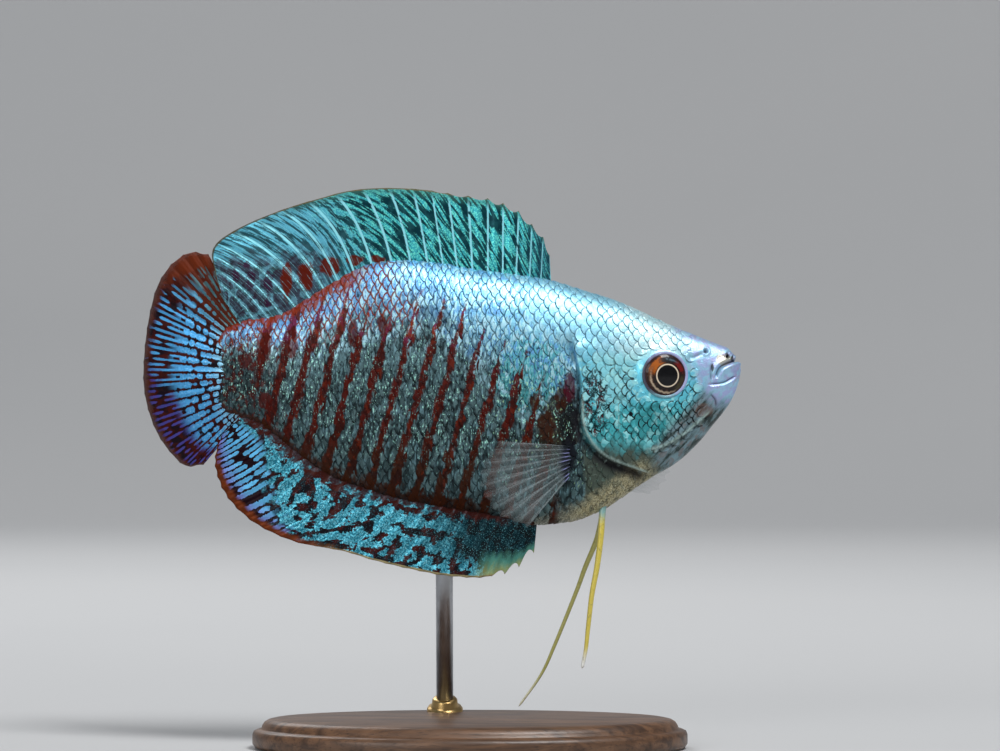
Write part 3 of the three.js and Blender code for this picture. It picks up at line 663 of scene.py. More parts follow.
def body_paint(name, scaled):
    """The markings that skin and scales share. Scales add a dark rim and a tint of their own."""
    p = Paint(name, Coat_Roughness=0.06, Specular_IOR_Level=0.1)
    here = p.place()
    x, y, z = p.x, p.y, p.z
    level, groove, crest_highlight = p.value_of("level"), p.value_of("groove"), p.value_of("crest_highlight")
    rim = p.value_of("rim") if scaled else None
    tint = p.value_of("tint") - 0.5 if scaled else 0.0
    broad = p.noise(here, 0.28, 3.0) - 0.5
    patchy = p.noise(here, 1.1, 3.0) - 0.5
    grain = p.noise(here, 5.4, 3.0)
    strokes = p.noise(p.join(x * 2.1 + tint * 4, z * 0.62, y * 0.62), 1.0, 2.0) - 0.5
    fibres = p.noise(p.join(x * 4.8 + tint * 9, z * 1.7, y * 1.7), 1.0, 2.0) - 0.5
    height = level + front_share(p, broad) * 0.42 + broad * 0.3 + tint * 0.3 + strokes * 0.9

    # Trunk and head meet sharply at the gill slit and blend slowly over the nape
    trunk = trunk_colour(p, level, height, rim, tint, broad, patchy, strokes, fibres)
    head = head_colour(p, tint, broad, patchy, fibres)
    nape = p.step(z, 2.0, 5.5)
    on_head = p.step(x + z * 0.06 + nape * broad * 8, 17.9 - nape * 12, 18.7 + nape * 5)
    colour = p.mix(on_head, trunk, head)

    # Breast and belly
    breast = p.step(level * 8 - x * 0.16 + patchy * 1.6, -9.2, -10.4)
    breast = breast * p.step(x, 5, 9) * p.step(x + z, 17, 12)
    under = p.layers(
        p.mix(p.step(x + patchy * 3, 15, 20), BELLY["silver"], BELLY["cream"]),
        (p.step(strokes + patchy, 0.0, -0.14) * 0.6, BELLY["olive"]),
        (p.step(grain, 0.48, 0.40) * 0.6, BELLY["pore"]),
        (p.step(grain, 0.56, 0.65) * 0.7, BELLY["fleck"]),
    )

    # Upright glints and the dark between them, most on the middle of the side, then the bars
    shine = p.step(level, -0.95, -0.3) * p.step(height, 1.3, 0.6) * p.step(x + z * 0.2, 19.5, 17.0)
    shine = shine * 0.8 + 0.04
    speck = p.step(fibres + tint * 0.1 + (grain - 0.5) * 0.6, 0.12, 0.24) * shine
    glint = p.mix(p.step(patchy, 0.0, 0.1) * p.step(x, 3, 12), TRUNK["mint"], TRUNK["lime"])
    bars, bar_colour = bar_marks(p, tint, broad, patchy, grain, strokes)
    anal_base = p.step(level + patchy * 0.2 + strokes * 0.12, -0.86, -0.94) * p.step(x, 9, 3)
    saddle = p.step(level + patchy * 0.4 + strokes * 0.4, 0.80, 0.92) * p.step(x, -8.5, -13)
    colour = p.layers(
        colour,
        (breast, under),
        (p.step(fibres, -0.05, -0.16) * shine, TRUNK["ink"]),
        (speck, glint),
        (bars * (0.97 - speck * 0.35), bar_colour),
        (anal_base * 0.9, BARS["brown"]),
        (saddle * 0.9, BARS["orange"]),
    )

    # Gill cover patch, spots, and painted shade round the root of the side fin
    cover = p.blot((20.5, -4.6), (1.8, 4.2), patchy * 1.8) * p.step(grain, 0.62, 0.52)
    colour = p.layers(
        colour,
        (cover * p.step(patchy + strokes * 0.6, 0.04, -0.06) * 0.9, TRUNK["ink"]),
        (cover * p.step(patchy - strokes, 0.02, 0.10) * 0.9, TRUNK["wine"]),
    )
    colour = p.spots(colour, RED_SPOTS, patchy * 1.6, 0.85, BARS["red"])
    colour = p.spots(colour, BROWN_SPOTS, patchy * 1.6, 0.85, BARS["brown"])
    colour = p.layers(
        colour,
        # Dark red in the gill slit, partly the gills' colour and partly painted shade
        (p.blot((17.2, -2.6), (0.8, 2.0), patchy) * 0.85, TRUNK["gill_slit_red_and_shade"]),
        (p.blot((25.3, -6.1), (0.3, 0.3), 0.0), TRUNK["ink"]),
        # Painted shade where the side fin meets the body
        (p.blot((17.0, -11.6), (1.2, 2.2), patchy) * 0.9, TRUNK["fin_root_shade"]),
    )
    if scaled:
        rear_back = p.step(x + z * 0.4 + broad * 8, 3, -2) * p.step(level + patchy * 0.5, 0.30, 0.60)
        edge, rim_colour = outline_marks(p, here, level, height, rim, rear_back, patchy, strokes, fibres)
        colour = p.mix(edge * (1 - bars * 0.9) * (1 - breast * 0.75), colour, rim_colour)

    # Painted highlight on the crests and painted shade in the grooves. On the gill cover's edge the
    # highlight is strong below and fades towards its top, where the shade is weaker too
    behind = p.step(x, 22, 20)
    crest_highlight = crest_highlight * (1 - p.step(z, -4.5, -1.5) * behind * 0.8)
    groove = groove * (1 - p.step(z, -3.0, 1.0) * behind * 0.55)
    colour = p.layers(colour, (crest_highlight, TRUNK["crest_highlight"]), (groove * 0.92, TRUNK["groove"]))
    dull = p.larger(p.larger(bars, saddle), groove)
    return p.finish(
        Base_Color=colour,
        Metallic=(1 - dull) * (1 - breast) * 0.45 + 0.1,
        Roughness=0.3 + grain * 0.2 + dull * 0.15,
        Coat_Weight=0.16 * (1 - dull),
        normal_height=grain + fibres * 0.6,
        distance=0.06,
        strength=0.6,
    )


skin_paint = body_paint("gourami_skin", scaled=False)
scale_paint = body_paint("gourami_scales", scaled=True)

# The skin in one piece, with its stations crowded towards the snout
SKIN = {"stations": 430, "sides": 210, "crowding": 1.6}
FLESH_NODES = ("head", "lower_jaw", "torso", "tail_stem")


def make_skin():
    """The body's surface on a grid of X and turn, with stations closer towards the snout, its two ends
    drawn together to a point."""
    share = 1 - (1 - np.linspace(0, 1, SKIN["stations"])) ** SKIN["crowding"]
    x = (FLESH_END + (SNOUT - FLESH_END) * share)[:, None]
    turn = np.linspace(0, 1, SKIN["sides"], endpoint=False)[None, :]
    points, shade, crest_highlight = body_surface(x, turn, 0.0)
    level = np.cos(TURN_AROUND * turn) + 0 * x
    marks = {"level": level, "groove": shade, "crest_highlight": crest_highlight}
    values = {key: np.append(data.ravel(), [0, 0]) for key, data in marks.items()}
    points, faces = capped(points, points[[0, -1]].mean(axis=1))
    make_piece("skin", points, faces, skin_paint, FLESH_NODES, values)


make_skin()

# The scales stand in rows at fixed arc lengths below a line along the middle of the side, up to ROWS_END
# on the snout and back to SCALES_REAR on the tail stem
ROWS_END, SCALES_REAR = 38, -29.2
mid_side = smooth_curve([[FLESH_END, -0.2], [0, -1.0], [18, -0.5], [30, -0.9], [SNOUT, 0]])
TABLE_TURNS = np.linspace(-0.05, 0.55, 241)  # from over the back to past the keel
TABLE_X = np.linspace(FLESH_END, ROWS_END, 269)


def side_table():
    """Arc length below the mid-side line for every station and turn of the right side."""
    section = plain_section(TABLE_X[:, None], TABLE_TURNS[None, :])
    pieces = np.linalg.norm(np.diff(section, axis=1), axis=-1)
    arc = np.hstack([np.zeros((len(TABLE_X), 1)), np.cumsum(pieces, axis=1)])
    top, bottom = body_top(TABLE_X), body_bottom(TABLE_X)
    middle = np.arccos(np.clip((2 * mid_side(TABLE_X) - top - bottom) / (top - bottom), -1, 1)) / TURN_AROUND
    share = (middle - TABLE_TURNS[0]) / (TABLE_TURNS[1] - TABLE_TURNS[0])
    row = np.arange(len(TABLE_X))
    low = share.astype(int)
    start = arc[row, low] + (share - low) * (arc[row, low + 1] - arc[row, low])
    return arc - start[:, None]


SIDE_ARC = side_table()
ROW_KEY = 1000.0  # parts the table's stations when they lie end to end


def turn_at(x, below):
    """Turn of the points at an arc length below the mid-side line, between the table's stations."""
    place = np.clip((x - TABLE_X[0]) / (TABLE_X[1] - TABLE_X[0]), 0, len(TABLE_X) - 1.001)
    keys = (SIDE_ARC + ROW_KEY * np.arange(len(TABLE_X))[:, None]).ravel()
    turns = np.tile(TABLE_TURNS, len(TABLE_X))
    low = place.astype(int)
    read = [
        np.interp(np.clip(below, SIDE_ARC[row, 0], SIDE_ARC[row, -1]) + ROW_KEY * row, keys, turns)
        for row in (low, low + 1)
    ]
    return read[0] + (place - low) * (read[1] - read[0])


# A scale's shape in steps of its row: how far it reaches forwards, backwards and across, and its height
SCALE = {"front": 0.85, "rear": 0.66, "across": 1.06, "sunk": -0.02, "rise": 0.26, "dome": 0.05, "rim": 0.07}
RING_SHARES = (0.52, 0.86, 1.0)
UNDER_RING = 0.97
SPOKES = 12
ROWS_EACH_WAY = 26  # from the mid-side line
SIDE_TURNS = (-0.006, 0.506)  # one side, from the back to the keel
FULL_ROW = 1.15  # the row pitch at which a scale has its full height
# How much the scales differ: in size, in place along the rows and in height
UNEVEN = {"size": 0.05, "place": 0.045, "lift": 0.02}


def scale_template():
    """One scale: rings of points round its middle, a lower ring under the rim, and a middle point below.
    Each point has its reach along and across, its share from the middle, and its depth under the top."""
    angle = circle(SPOKES)
    angle = angle - 0.3 * np.sin(angle)
    rings = [(share, 0.0) for share in RING_SHARES] + [(UNDER_RING, SCALE["rim"])]
    share = np.array([0.0] + [ring for ring, _ in rings for _ in angle] + [0.0])
    depth = np.array([0.0] + [low for _, low in rings for _ in angle] + [SCALE["rim"]])
    around = np.concatenate([[0], np.tile(angle, len(rings)), [0]])
    along = -np.cos(around) * np.where(np.cos(around) > 0, SCALE["rear"], SCALE["front"]) * share
    across = np.sin(around) * SCALE["across"] * share
    first = np.arange(SPOKES)
    following = np.roll(first, -1)
    last = 1 + (len(rings) - 1) * SPOKES
    upper = np.stack([np.zeros(SPOKES, int), 1 + first, 1 + following], -1)
    lower = np.stack([last + following, last + first, np.full(SPOKES, last + SPOKES)], -1)
    quads = 1 + grid_quads(len(rings), SPOKES, closed=True)[:, [0, 3, 2, 1]]
    return along, across, share, depth, quads, np.vstack([upper, lower])


def lattice(pitch, row_pitch, keep):
    """Middles of scales: rows a row pitch apart, a scale at every column pitch along them, every other
    row set back by half. Returns the column and row numbers and the function from column to X."""
    fine = np.linspace(FLESH_END, ROWS_END, 1200)
    column = np.concatenate([[0], np.cumsum(np.diff(fine) / pitch((fine[1:] + fine[:-1]) / 2))])

    def x_of(place):
        return np.interp(place, column, fine)

    every_row = np.arange(-ROWS_EACH_WAY, ROWS_EACH_WAY + 1)
    rows, columns = np.meshgrid(every_row, np.arange(int(column[-1])), indexing="ij")
    columns = columns + 0.5 * (rows % 2)
    x = x_of(columns)
    below = rows * row_pitch(x)
    turn = turn_at(x, below)
    z = plain_section(x, turn)[..., 2]
    kept = keep(x, z, below) & (turn > SIDE_TURNS[0]) & (turn < SIDE_TURNS[1])
    return columns[kept], rows[kept], x_of


def off_features(x, z):
    """Whether a side-view point is clear of the eye, the gill slit and the bare skin."""
    eye = np.hypot(x - EYE["x"], z - EYE["z"]) > EYE["bare"]
    gill, share = off_line(x, z, GILL_SLIT)
    slit = (gill < -0.15) | (gill > 0.75) | (share < 0.03) | (share > 0.97)
    return eye & slit & (bareness(x, z) < 0.4)


def under_cover(x, z):
    """How far scales slip in under the gill cover's edge: 0 behind the slit and 1 inside it."""
    gill, _, ends = faded_line(x, z, GILL_SLIT, 0.14, 0.93)
    return step(gill, -0.55, 0.1) * step(gill, 2.5, 1.5) * ends


def in_cheek(x, z, below):
    """Whether a point lies on the cheek, which has rows of its own, finer than those of the trunk."""
    gill, _ = off_line(x, z, GILL_SLIT)
    return (gill > 0) & (below > -1.3) & (x > 18)


def on_cheek(x, z, below):
    """Whether a scale of the cheek's coat may grow at a point."""
    return off_features(x, z) & in_cheek(x, z, below)


def on_trunk(x, z, below):
    """Whether a scale of the trunk's coat may grow at a point. The coat ends in a wavy line at the rear."""
    return off_features(x, z) & ~in_cheek(x, z, below) & (x > SCALES_REAR + 0.6 * np.cos(0.5 * z))


trunk_pitch = smooth_curve([
    [FLESH_END, 0.85], [-15, 1.0], [0, 1.15], [9, 1.25], [14, 1.35], [18, 1.45], [25, 1.35], [ROWS_END, 1.0],
])
trunk_rows = smooth_curve([
    [FLESH_END, 0.74], [-15, 1.04], [0, 1.16], [12, 1.1], [20, 0.98], [27, 0.86], [ROWS_END, 0.72],
])
cheek_pitch = smooth_curve([[18, 1.25], [26, 1.1], [ROWS_END, 0.9]])
cheek_rows = smooth_curve([[18, 0.82], [26, 0.73], [ROWS_END, 0.64]])
COATS = ((trunk_pitch, trunk_rows, on_trunk), (cheek_pitch, cheek_rows, on_cheek))
PATCH = 0.003  # a scale's patch on the unwrap
UNWRAP = {"start": 0.01, "span": 0.98}
COVER_DEPTH = 0.9  # how deep scales slip under the gill cover


def make_coat(side, seed):
    """The scales of one side as one mesh. Every point of a scale is a reach along and across from its
    middle, in steps of its rows, read back onto the body and lifted like a roof tile."""
    random = np.random.default_rng(seed)
    along, across, share, depth, quads, fans = scale_template()
    tilt = (SCALE["front"] - along) / (SCALE["front"] + SCALE["rear"])
    parts = []
    for pitch, row_pitch, keep in COATS:
        columns, rows, x_of = lattice(pitch, row_pitch, keep)
        count = len(columns)
        size = 1 + UNEVEN["size"] * random.standard_normal(count)[:, None]
        nudge = UNEVEN["place"] * random.standard_normal((2, count, 1))
        x = x_of(columns[:, None] + nudge[0] + along * size)
        turn = turn_at(x, (rows[:, None] + nudge[1] + across * size) * row_pitch(x))
        lift = SCALE["sunk"] + SCALE["rise"] * tilt + SCALE["dome"] * (1 - share**2) - depth
        lift = lift * (row_pitch(x) / FULL_ROW) + UNEVEN["lift"] * random.standard_normal((count, 1))
        if keep is on_trunk:
            height = plain_section(x[:, 0], turn[:, 0])[:, 2]
            near = (x[:, 0] > HEAD_START) & (off_line(x[:, 0], height, GILL_SLIT)[0] < 0)
            lift[near] -= COVER_DEPTH * under_cover(x[near], plain_section(x[near], turn[near])[..., 2])
        if side == LEFT:
            turn = 1 - turn
        points, shade, crest_highlight = body_surface(x, turn, lift)
        root = np.stack([(x[:, :1] - FLESH_END) / (SNOUT - FLESH_END), turn[:, :1] % 1.0], -1)
        parts.append({
            "points": points,
            "groove": shade,
            "crest_highlight": crest_highlight,
            "level": np.cos(TURN_AROUND * turn),
            "tint": np.repeat(random.random((count, 1)), len(along), axis=1),
            "rim": np.tile(np.where(along < 0.25, share, 0.3 * share), (count, 1)),
            "patch": UNWRAP["start"] + UNWRAP["span"] * root + np.stack([along, across], -1) * PATCH / 2,
        })
    values = {key: np.vstack([part[key] for part in parts]) for key in parts[0]}
    points, patches = values.pop("points"), values.pop("patch")
    start = (np.arange(len(points)) * len(along))[:, None, None]
    faces = [(group + start).reshape(-1, group.shape[1]) for group in (quads, fans)]
    if side == LEFT:
        faces = [group[:, ::-1] for group in faces]
    make_piece(f"scales_{WORD[side]}", points, faces, scale_paint, (), values, patches)


make_coat(RIGHT, 11)
make_coat(LEFT, 12)


# Eyes of painted glass, each in a soft ring of skin
# The pupil's middle off the eye's axis, its radius and that of the cream ring round it
PUPIL = {"ahead": 0.2, "up": -0.1, "edge": 1.39, "ring": 1.56}
IRIS_EDGE = 2.58
IRIS = dict(
    dark=(0.006, 0.003, 0.003), brown=(0.035, 0.012, 0.007), edge=(0.045, 0.012, 0.012),
    cream=(0.72, 0.60, 0.45), black=(0.002, 0.002, 0.003),
)
# Wedges of the iris: middle angle, half angle, inner and outer radius, share and tone
IRIS_WEDGES = (
    (2.4, 0.62, 1.55, 2.75, 0.95, (0.42, 0.11, 0.014)),
    (0.62, 0.42, 1.65, 2.5, 0.9, (0.16, 0.010, 0.008)),
    (-0.5, 0.5, 1.7, 2.5, 0.6, (0.06, 0.05, 0.015)),
    (1.55, 0.55, 1.7, 2.6, 0.9, (0.01, 0.012, 0.016)),
    (1.3, 0.28, 1.95, 2.35, 0.35, (0.25, 0.42, 0.55)),
    (3.1, 0.6, 1.9, 2.7, 0.5, (0.13, 0.05, 0.02)),
    (-2.2, 1.1, 2.05, 2.50, 0.85, (0.62, 0.48, 0.34)),
)
RING = dict(shade=(0.05, 0.05, 0.08), lilac=(0.36, 0.40, 0.66), cyan=(0.20, 0.48, 0.56))


def eye_paint():
    """Black pupil in a cream ring, a dark brown iris with orange and red wedges, a gold ring low and a
    pale blue glint above, by radius and angle round the pupil. Polished like glass."""
    p = Paint("gourami_eye", Coat_Weight=0.35, Coat_Roughness=0.02, Roughness=0.4, Specular_IOR_Level=0.15)
    ahead, up = p.value_of("ahead"), p.value_of("up")
    whole = p.math("SQRT", ahead * ahead + up * up)
    ahead, up = ahead - PUPIL["ahead"], up - PUPIL["up"]
    radius = p.math("SQRT", ahead * ahead + up * up)
    angle = p.math("ARCTAN2", up, ahead)
    streaks = p.noise(p.join(angle * 3, radius * 0.8), 2.2, 4.0, 0.4) - 0.5
    reach = radius + streaks * 0.4
    colour = p.mix(p.step(streaks, -0.05, 0.25), IRIS["dark"], IRIS["brown"])
    for middle, half, inner, outer, share, tone in IRIS_WEDGES:
        across = np.pi - p.math("PINGPONG", angle - middle + np.pi, np.pi)
        wide = p.step(across + streaks, half * 1.35, half * 0.5)
        ring = p.step(reach, inner, inner + 0.25) * p.step(reach, outer, outer - 0.25)
        colour = p.mix(wide * ring * share, colour, tone)
    colour = p.layers(
        colour,
        (p.step(whole, IRIS_EDGE - 0.08, IRIS_EDGE + 0.08), IRIS["edge"]),
        (p.step(radius, PUPIL["ring"] + 0.04, PUPIL["ring"] - 0.04), IRIS["cream"]),
        (p.step(radius, PUPIL["edge"] + 0.04, PUPIL["edge"] - 0.04), IRIS["black"]),
    )
    return p.finish(Base_Color=colour, normal_height=streaks, strength=0.4)


def ring_paint():
    """Lilac-white skin of the eye's ring, darker behind and cyan below."""
    p = Paint("gourami_eye_ring", Coat_Weight=0.6, Coat_Roughness=0.1)
    cloud = p.noise(p.place(), 1.6, 3.0)
    colour = p.layers(
        RING["shade"],
        (p.step(p.x + p.z * 0.5 + cloud * 3, 28.5, 32), RING["lilac"]),
        (p.step(p.z + cloud * 2, -1.6, -3.0) * 0.7, RING["cyan"]),
    )
    return p.finish(Base_Color=colour, Roughness=0.3 + cloud * 0.2, normal_height=cloud)


eye_material = eye_paint()
ring_material = ring_paint()
# The glass dome: how its front falls, how deep it sits, and the (radius, height) points of its back
EYE_DOME = {"fall": 0.8, "sink": 0.06, "stations": 34, "sides": 72}
EYE_BACK = [[0, -0.9], [1.7, -0.8], [2.6, 0.1]]
EYE_RING = {"radius": 2.93, "thick": 0.21, "flat": 0.18, "height": 1.13, "sides": 96, "section": 16}


def make_eye(side):
    """A glass dome turned round the eye's axis: its front falls as a power of one less the square of the
    radius, and its edge sits in the socket. A ring with an oval section is turned round it."""
    centre, forward, upward, outward = eye_frame(side)
    brim = EYE["depth"] - EYE["bulge"] - EYE_DOME["sink"]
    share = np.linspace(0, 1, EYE_DOME["stations"])
    front = np.stack([EYE["radius"] * share, brim + EYE["bulge"] * (1 - share**2) ** EYE_DOME["fall"]], -1)
    profile = np.vstack([EYE_BACK, front[::-1]])
    points, faces = turned(profile, centre, outward, forward, EYE_DOME["sides"])
    off = points - centre
    values = {"ahead": off @ forward, "up": off @ upward}
    word = WORD[side]
    make_piece(f"glass_eye_{word}", points, faces, eye_material, (f"eye_{word}",), values)
    sides, section = EYE_RING["sides"], EYE_RING["section"]
    angle = circle(sides)[:, None, None]
    round_section = circle(section)[None, :, None]
    radius = EYE_RING["radius"] + EYE_RING["thick"] * np.cos(round_section)
    height = EYE_RING["height"] + EYE_RING["flat"] * np.sin(round_section)
    spoke = np.cos(angle) * forward + np.sin(angle) * upward
    points = centre + radius * spoke + height * outward
    quads = grid_quads(sides, section, closed=True, looped=True)
    turns_out = np.dot(np.cross(forward, upward), outward) < 0
    make_piece(f"eye_ring_{word}", points, [quads if turns_out else quads[:, ::-1]], ring_material)


for side in (RIGHT, LEFT):
    make_eye(side)


# Fins: a pleated web with a forked ridge for every ray. "sink" is how far they go into the body, "web" and
# "ray" are half thicknesses, "tip" is the share of them left at the tip, "ridge" is a ray's width in steps
# from ray to ray, "finer" is what that loses towards the tip, and "knots" is the swelling of its joints.
FIN = {"sink": 1.2, "web": 0.10, "ray": 0.27, "tip": 0.45, "ridge": 0.11, "finer": 0.03, "knots": 0.18}


def fin_points(fin, u, v):
    """Middle surface of a fin at shares u along its root and v along its rays: from the root line to the
    tip line, its middle bowed by the arch, then swayed off the spine. Below 0, v runs into the body."""
    root, tip = spline(fin["roots"], u), spline(fin["tips"], u)
    ray = tip - root
    reach = np.where(v < 0, v * FIN["sink"] / np.linalg.norm(ray, axis=-1), v)
    points = root + ray * reach[..., None]
    out = np.clip(v, 0, None)
    points = points + fin["arch"](u) * (4 * out * (1 - out))[..., None]
    if "sway" in fin:
        points[..., 1] = spine_side(points[..., 0]) + fin["sway"](u, out)
    return points


def make_fin(name, fin, paint, columns=9, rows=44):
    """Both faces of a fin on one grid of u and v, parted by twice the half thickness: thin on the web,
    thick on each ray, whose ridge parts in two where the ray forks. The web is pleated between rays."""
    intervals = fin["rays"] - 1
    u = np.linspace(0, 1, intervals * columns + 1)[:, None]
    v = np.concatenate([[-1.0, -0.5], np.linspace(0, 1, rows)])[None, :]
    ray = u * intervals
    phase = np.abs(ray - np.round(ray))
    valley = 4 * phase * (1 - phase)
    v_end = v * np.where(v > 0, 1 - fin["notch"](u) * valley, 1)
    u_all, v_all = np.broadcast_arrays(u, v_end)
    middle = fin_points(fin, u_all, v_all)
    along_u = np.gradient(middle, axis=0)
    along_v = np.gradient(middle, axis=1)
    normal = unit(np.cross(along_u, along_v))
    out = np.clip(v_all, 0, 1)
    fork = fin["fork"] * step(out, 0.3, 0.75)
    ridge = bell(np.abs(phase - fork), FIN["ridge"] - FIN["finer"] * out)
    joints = 1 + FIN["knots"] * np.sin(TURN_AROUND * out * fin["joints"]) * ridge
    taper = 1 - (1 - FIN["tip"]) * out
    half = (FIN["web"] + (FIN["ray"] - FIN["web"]) * ridge * joints) * taper
    half = half * (1 - 0.5 * step(out, 0.96, 1.0))
    pleat = fin["pleat"] * np.cos(TURN_AROUND * ray) * step(out, 0.0, 0.3)
    middle = middle + pleat[..., None] * normal
    faces_of = [middle + half[..., None] * normal, middle - half[..., None] * normal]
    count, rim = u_all.shape
    quads = grid_quads(count, rim)
    far = count * rim
    index = np.arange(far).reshape(count, rim)
    border = np.concatenate([index[:-1, 0], index[-1, :-1], index[:0:-1, -1], index[0, :0:-1]])
    following = np.roll(border, -1)
    wall = np.stack([border, border + far, following + far, following], -1)
    faces = [quads[:, ::-1], quads + far, wall]
    marks = {"ray": np.broadcast_to(ray, u_all.shape), "reach": out, "ridge": ridge}
    values = {key: np.tile(data.ravel(), 2) for key, data in marks.items()}
    make_piece(name, np.stack(faces_of), faces, paint, fin["replaces"], values)


def hump(u, start):
    """A single swelling from start to 1."""
    return np.sin(np.pi * np.clip(u - start, 0, None) / (1 - start))


def upright(x, z):
    """Points in the fish's middle plane."""
    x, z = np.broadcast_arrays(np.array(x, float), z)
    return np.stack([x, 0 * x, z], -1)


# Each row is a ray's root along X, then its tip along X and Z
DORSAL_RAYS = np.array([
    [14.8, 14.6, 15], [13.4, 13.7, 17.6], [11.8, 12.1, 19.4], [9.9, 10.2, 21.2], [8, 8, 22.2],
    [5.9, 5.8, 22.8], [3.7, 2.9, 23.1], [1.6, 0.2, 23.5], [-0.4, -2, 23.8], [-2.7, -5, 24],
    [-5.2, -8.6, 24], [-8, -12.4, 23.6], [-10.6, -16.2, 22.6], [-13, -20, 21.5], [-15, -23.6, 20.2],
    [-17, -27, 18.7], [-19, -29.7, 17], [-21, -30.6, 15.4], [-22.9, -30.3, 13.5], [-24.8, -29.8, 11.6],
    [-26.9, -29.1, 9.4],
])
ANAL_RAYS = np.array([
    [12.9, 12.5, -24.7], [11.3, 9.8, -27.1], [9.6, 7.3, -27.7], [7.9, 5.1, -28], [6, 2.6, -27.9],
    [4, -0.2, -27.6], [1.8, -3.2, -27], [-0.6, -6.3, -26.3], [-3.1, -9.4, -25.5], [-5.7, -12.6, -24.5],
    [-8.3, -15.8, -23.9], [-10.9, -19, -23.3], [-13.4, -22.2, -22.1], [-15.8, -25, -20.6],
    [-18.1, -27.4, -18.6], [-20, -28.9, -16.7], [-21.6, -29.8, -14.7], [-23, -30.2, -12.8],
    [-24.6, -30, -11], [-26.7, -29.3, -9.1],
])
CAUDAL_TIPS = np.array([
    [-31.2, 15.3], [-33.8, 15.6], [-36.4, 14], [-38.3, 11.2], [-39.3, 7.8], [-39.9, 4.2], [-40.2, 0.8],
    [-40.2, -2.4], [-39.6, -5.6], [-38.4, -8.7], [-36.6, -11.3], [-34.4, -13.2], [-31.9, -13],
])
TAIL_ROOT_X, TAIL_ROOT_Z = -26.6, np.linspace(6.4, -6.8, len(CAUDAL_TIPS))
# A fin's lines of roots and tips, its number of rays, its bow and sway, the notches of its margin, how far
# its rays fork, the joints along a ray, and the height of its pleats
FINS = {
    "dorsal": {
        "roots": upright(DORSAL_RAYS[:, 0], body_top(DORSAL_RAYS[:, 0])),
        "tips": upright(DORSAL_RAYS[:, 1], DORSAL_RAYS[:, 2]),
        "rays": 22,
        "arch": lambda u: np.stack([0.5 * hump(u, 0.4), 0 * u, hump(u, 0.4)], -1),
        "sway": lambda u, v: v * (0.5 * np.sin(6 * u) - step(u, 0.75, 1)),
        "notch": lambda u: 0.006 + 0.12 * np.clip(1 - 2.5 * u, 0, None),
        "fork": 0.1, "joints": 22, "pleat": 0.12, "replaces": ("dorsal_fin",),
    },
    "anal": {
        "roots": upright(ANAL_RAYS[:, 0], body_bottom(ANAL_RAYS[:, 0])),
        "tips": upright(ANAL_RAYS[:, 1], ANAL_RAYS[:, 2]),
        "rays": 27,
        "arch": lambda u: np.stack([0.3 * hump(u, 0.3), 0 * u, -0.8 * hump(u, 0.3)], -1),
        "sway": lambda u, v: v * (0.5 * np.sin(5 * u + 2) - 0.6 * step(u, 0.75, 1)),
        "notch": lambda u: 0.01 + 0.3 * np.clip(1 - 8 * u, 0, None),
        "fork": 0.1, "joints": 22, "pleat": 0.12, "replaces": ("anal_fin",),
    },
    "caudal": {
        "roots": upright(TAIL_ROOT_X, TAIL_ROOT_Z),
        "tips": upright(CAUDAL_TIPS[:, 0], CAUDAL_TIPS[:, 1]),
        "rays": 19,
        "arch": lambda u: np.zeros((*u.shape, 3)),
        "sway": lambda u, v: v * 0.5 * np.sin(9 * u),
        "notch": lambda u: 0.015 + 0 * u,
        "fork": 0.17, "joints": 30, "pleat": 0.1, "replaces": ("caudal_fin",),
    },
}


def ray_marks(p):
    """Ray number, reach along the rays, and a noise that runs along them."""
    ray, reach = p.value_of("ray"), p.value_of("reach")
    return ray, reach, p.noise(p.join(ray * 3.0, reach * 5.0), 1.0, 3.0) - 0.5


def dashes(p, ray, courses, along, width, ragged):
    """Dashes in courses between the rays: each course is cut across by a noise of its own along it, and
    a dash fills the middle of its course up to a width, ragged at its sides and tapered at its ends."""
    course = p.math("FLOOR", ray * courses)
    cut = p.noise(p.join(course * 7.3, along), 1.0, 0.0) - 0.44
    lateral = (0.5 - p.math("PINGPONG", ray, 0.5 / courses) * courses) / width + ragged
    return p.step(p.math("MINIMUM", cut * 9, 0.4) - lateral * lateral, -0.7, -0.45)


# Red and violet blots along the dorsal fin's rear root: middle (x, z) and half sizes
DORSAL_BLOTS = (((-8.4, 14.5), (0.95, 0.5)), ((-11.3, 14.4), (1.1, 0.7)), ((-14.7, 13.6), (1.3, 1.3)),
                ((-17.9, 12.5), (1.0, 2.0)), ((-20.5, 11.4), (0.7, 2.8)))
VIOLET_BLOTS = (((-22.9, 11.3), (0.6, 1.5)), ((-25.3, 11.6), (0.6, 1.3)), ((-27.4, 12.2), (0.5, 1.0)),
                ((-25.6, 13.9), (0.6, 0.5)), ((-23.0, 8.7), (0.5, 0.7)), ((-25.1, 9.3), (0.6, 0.5)))

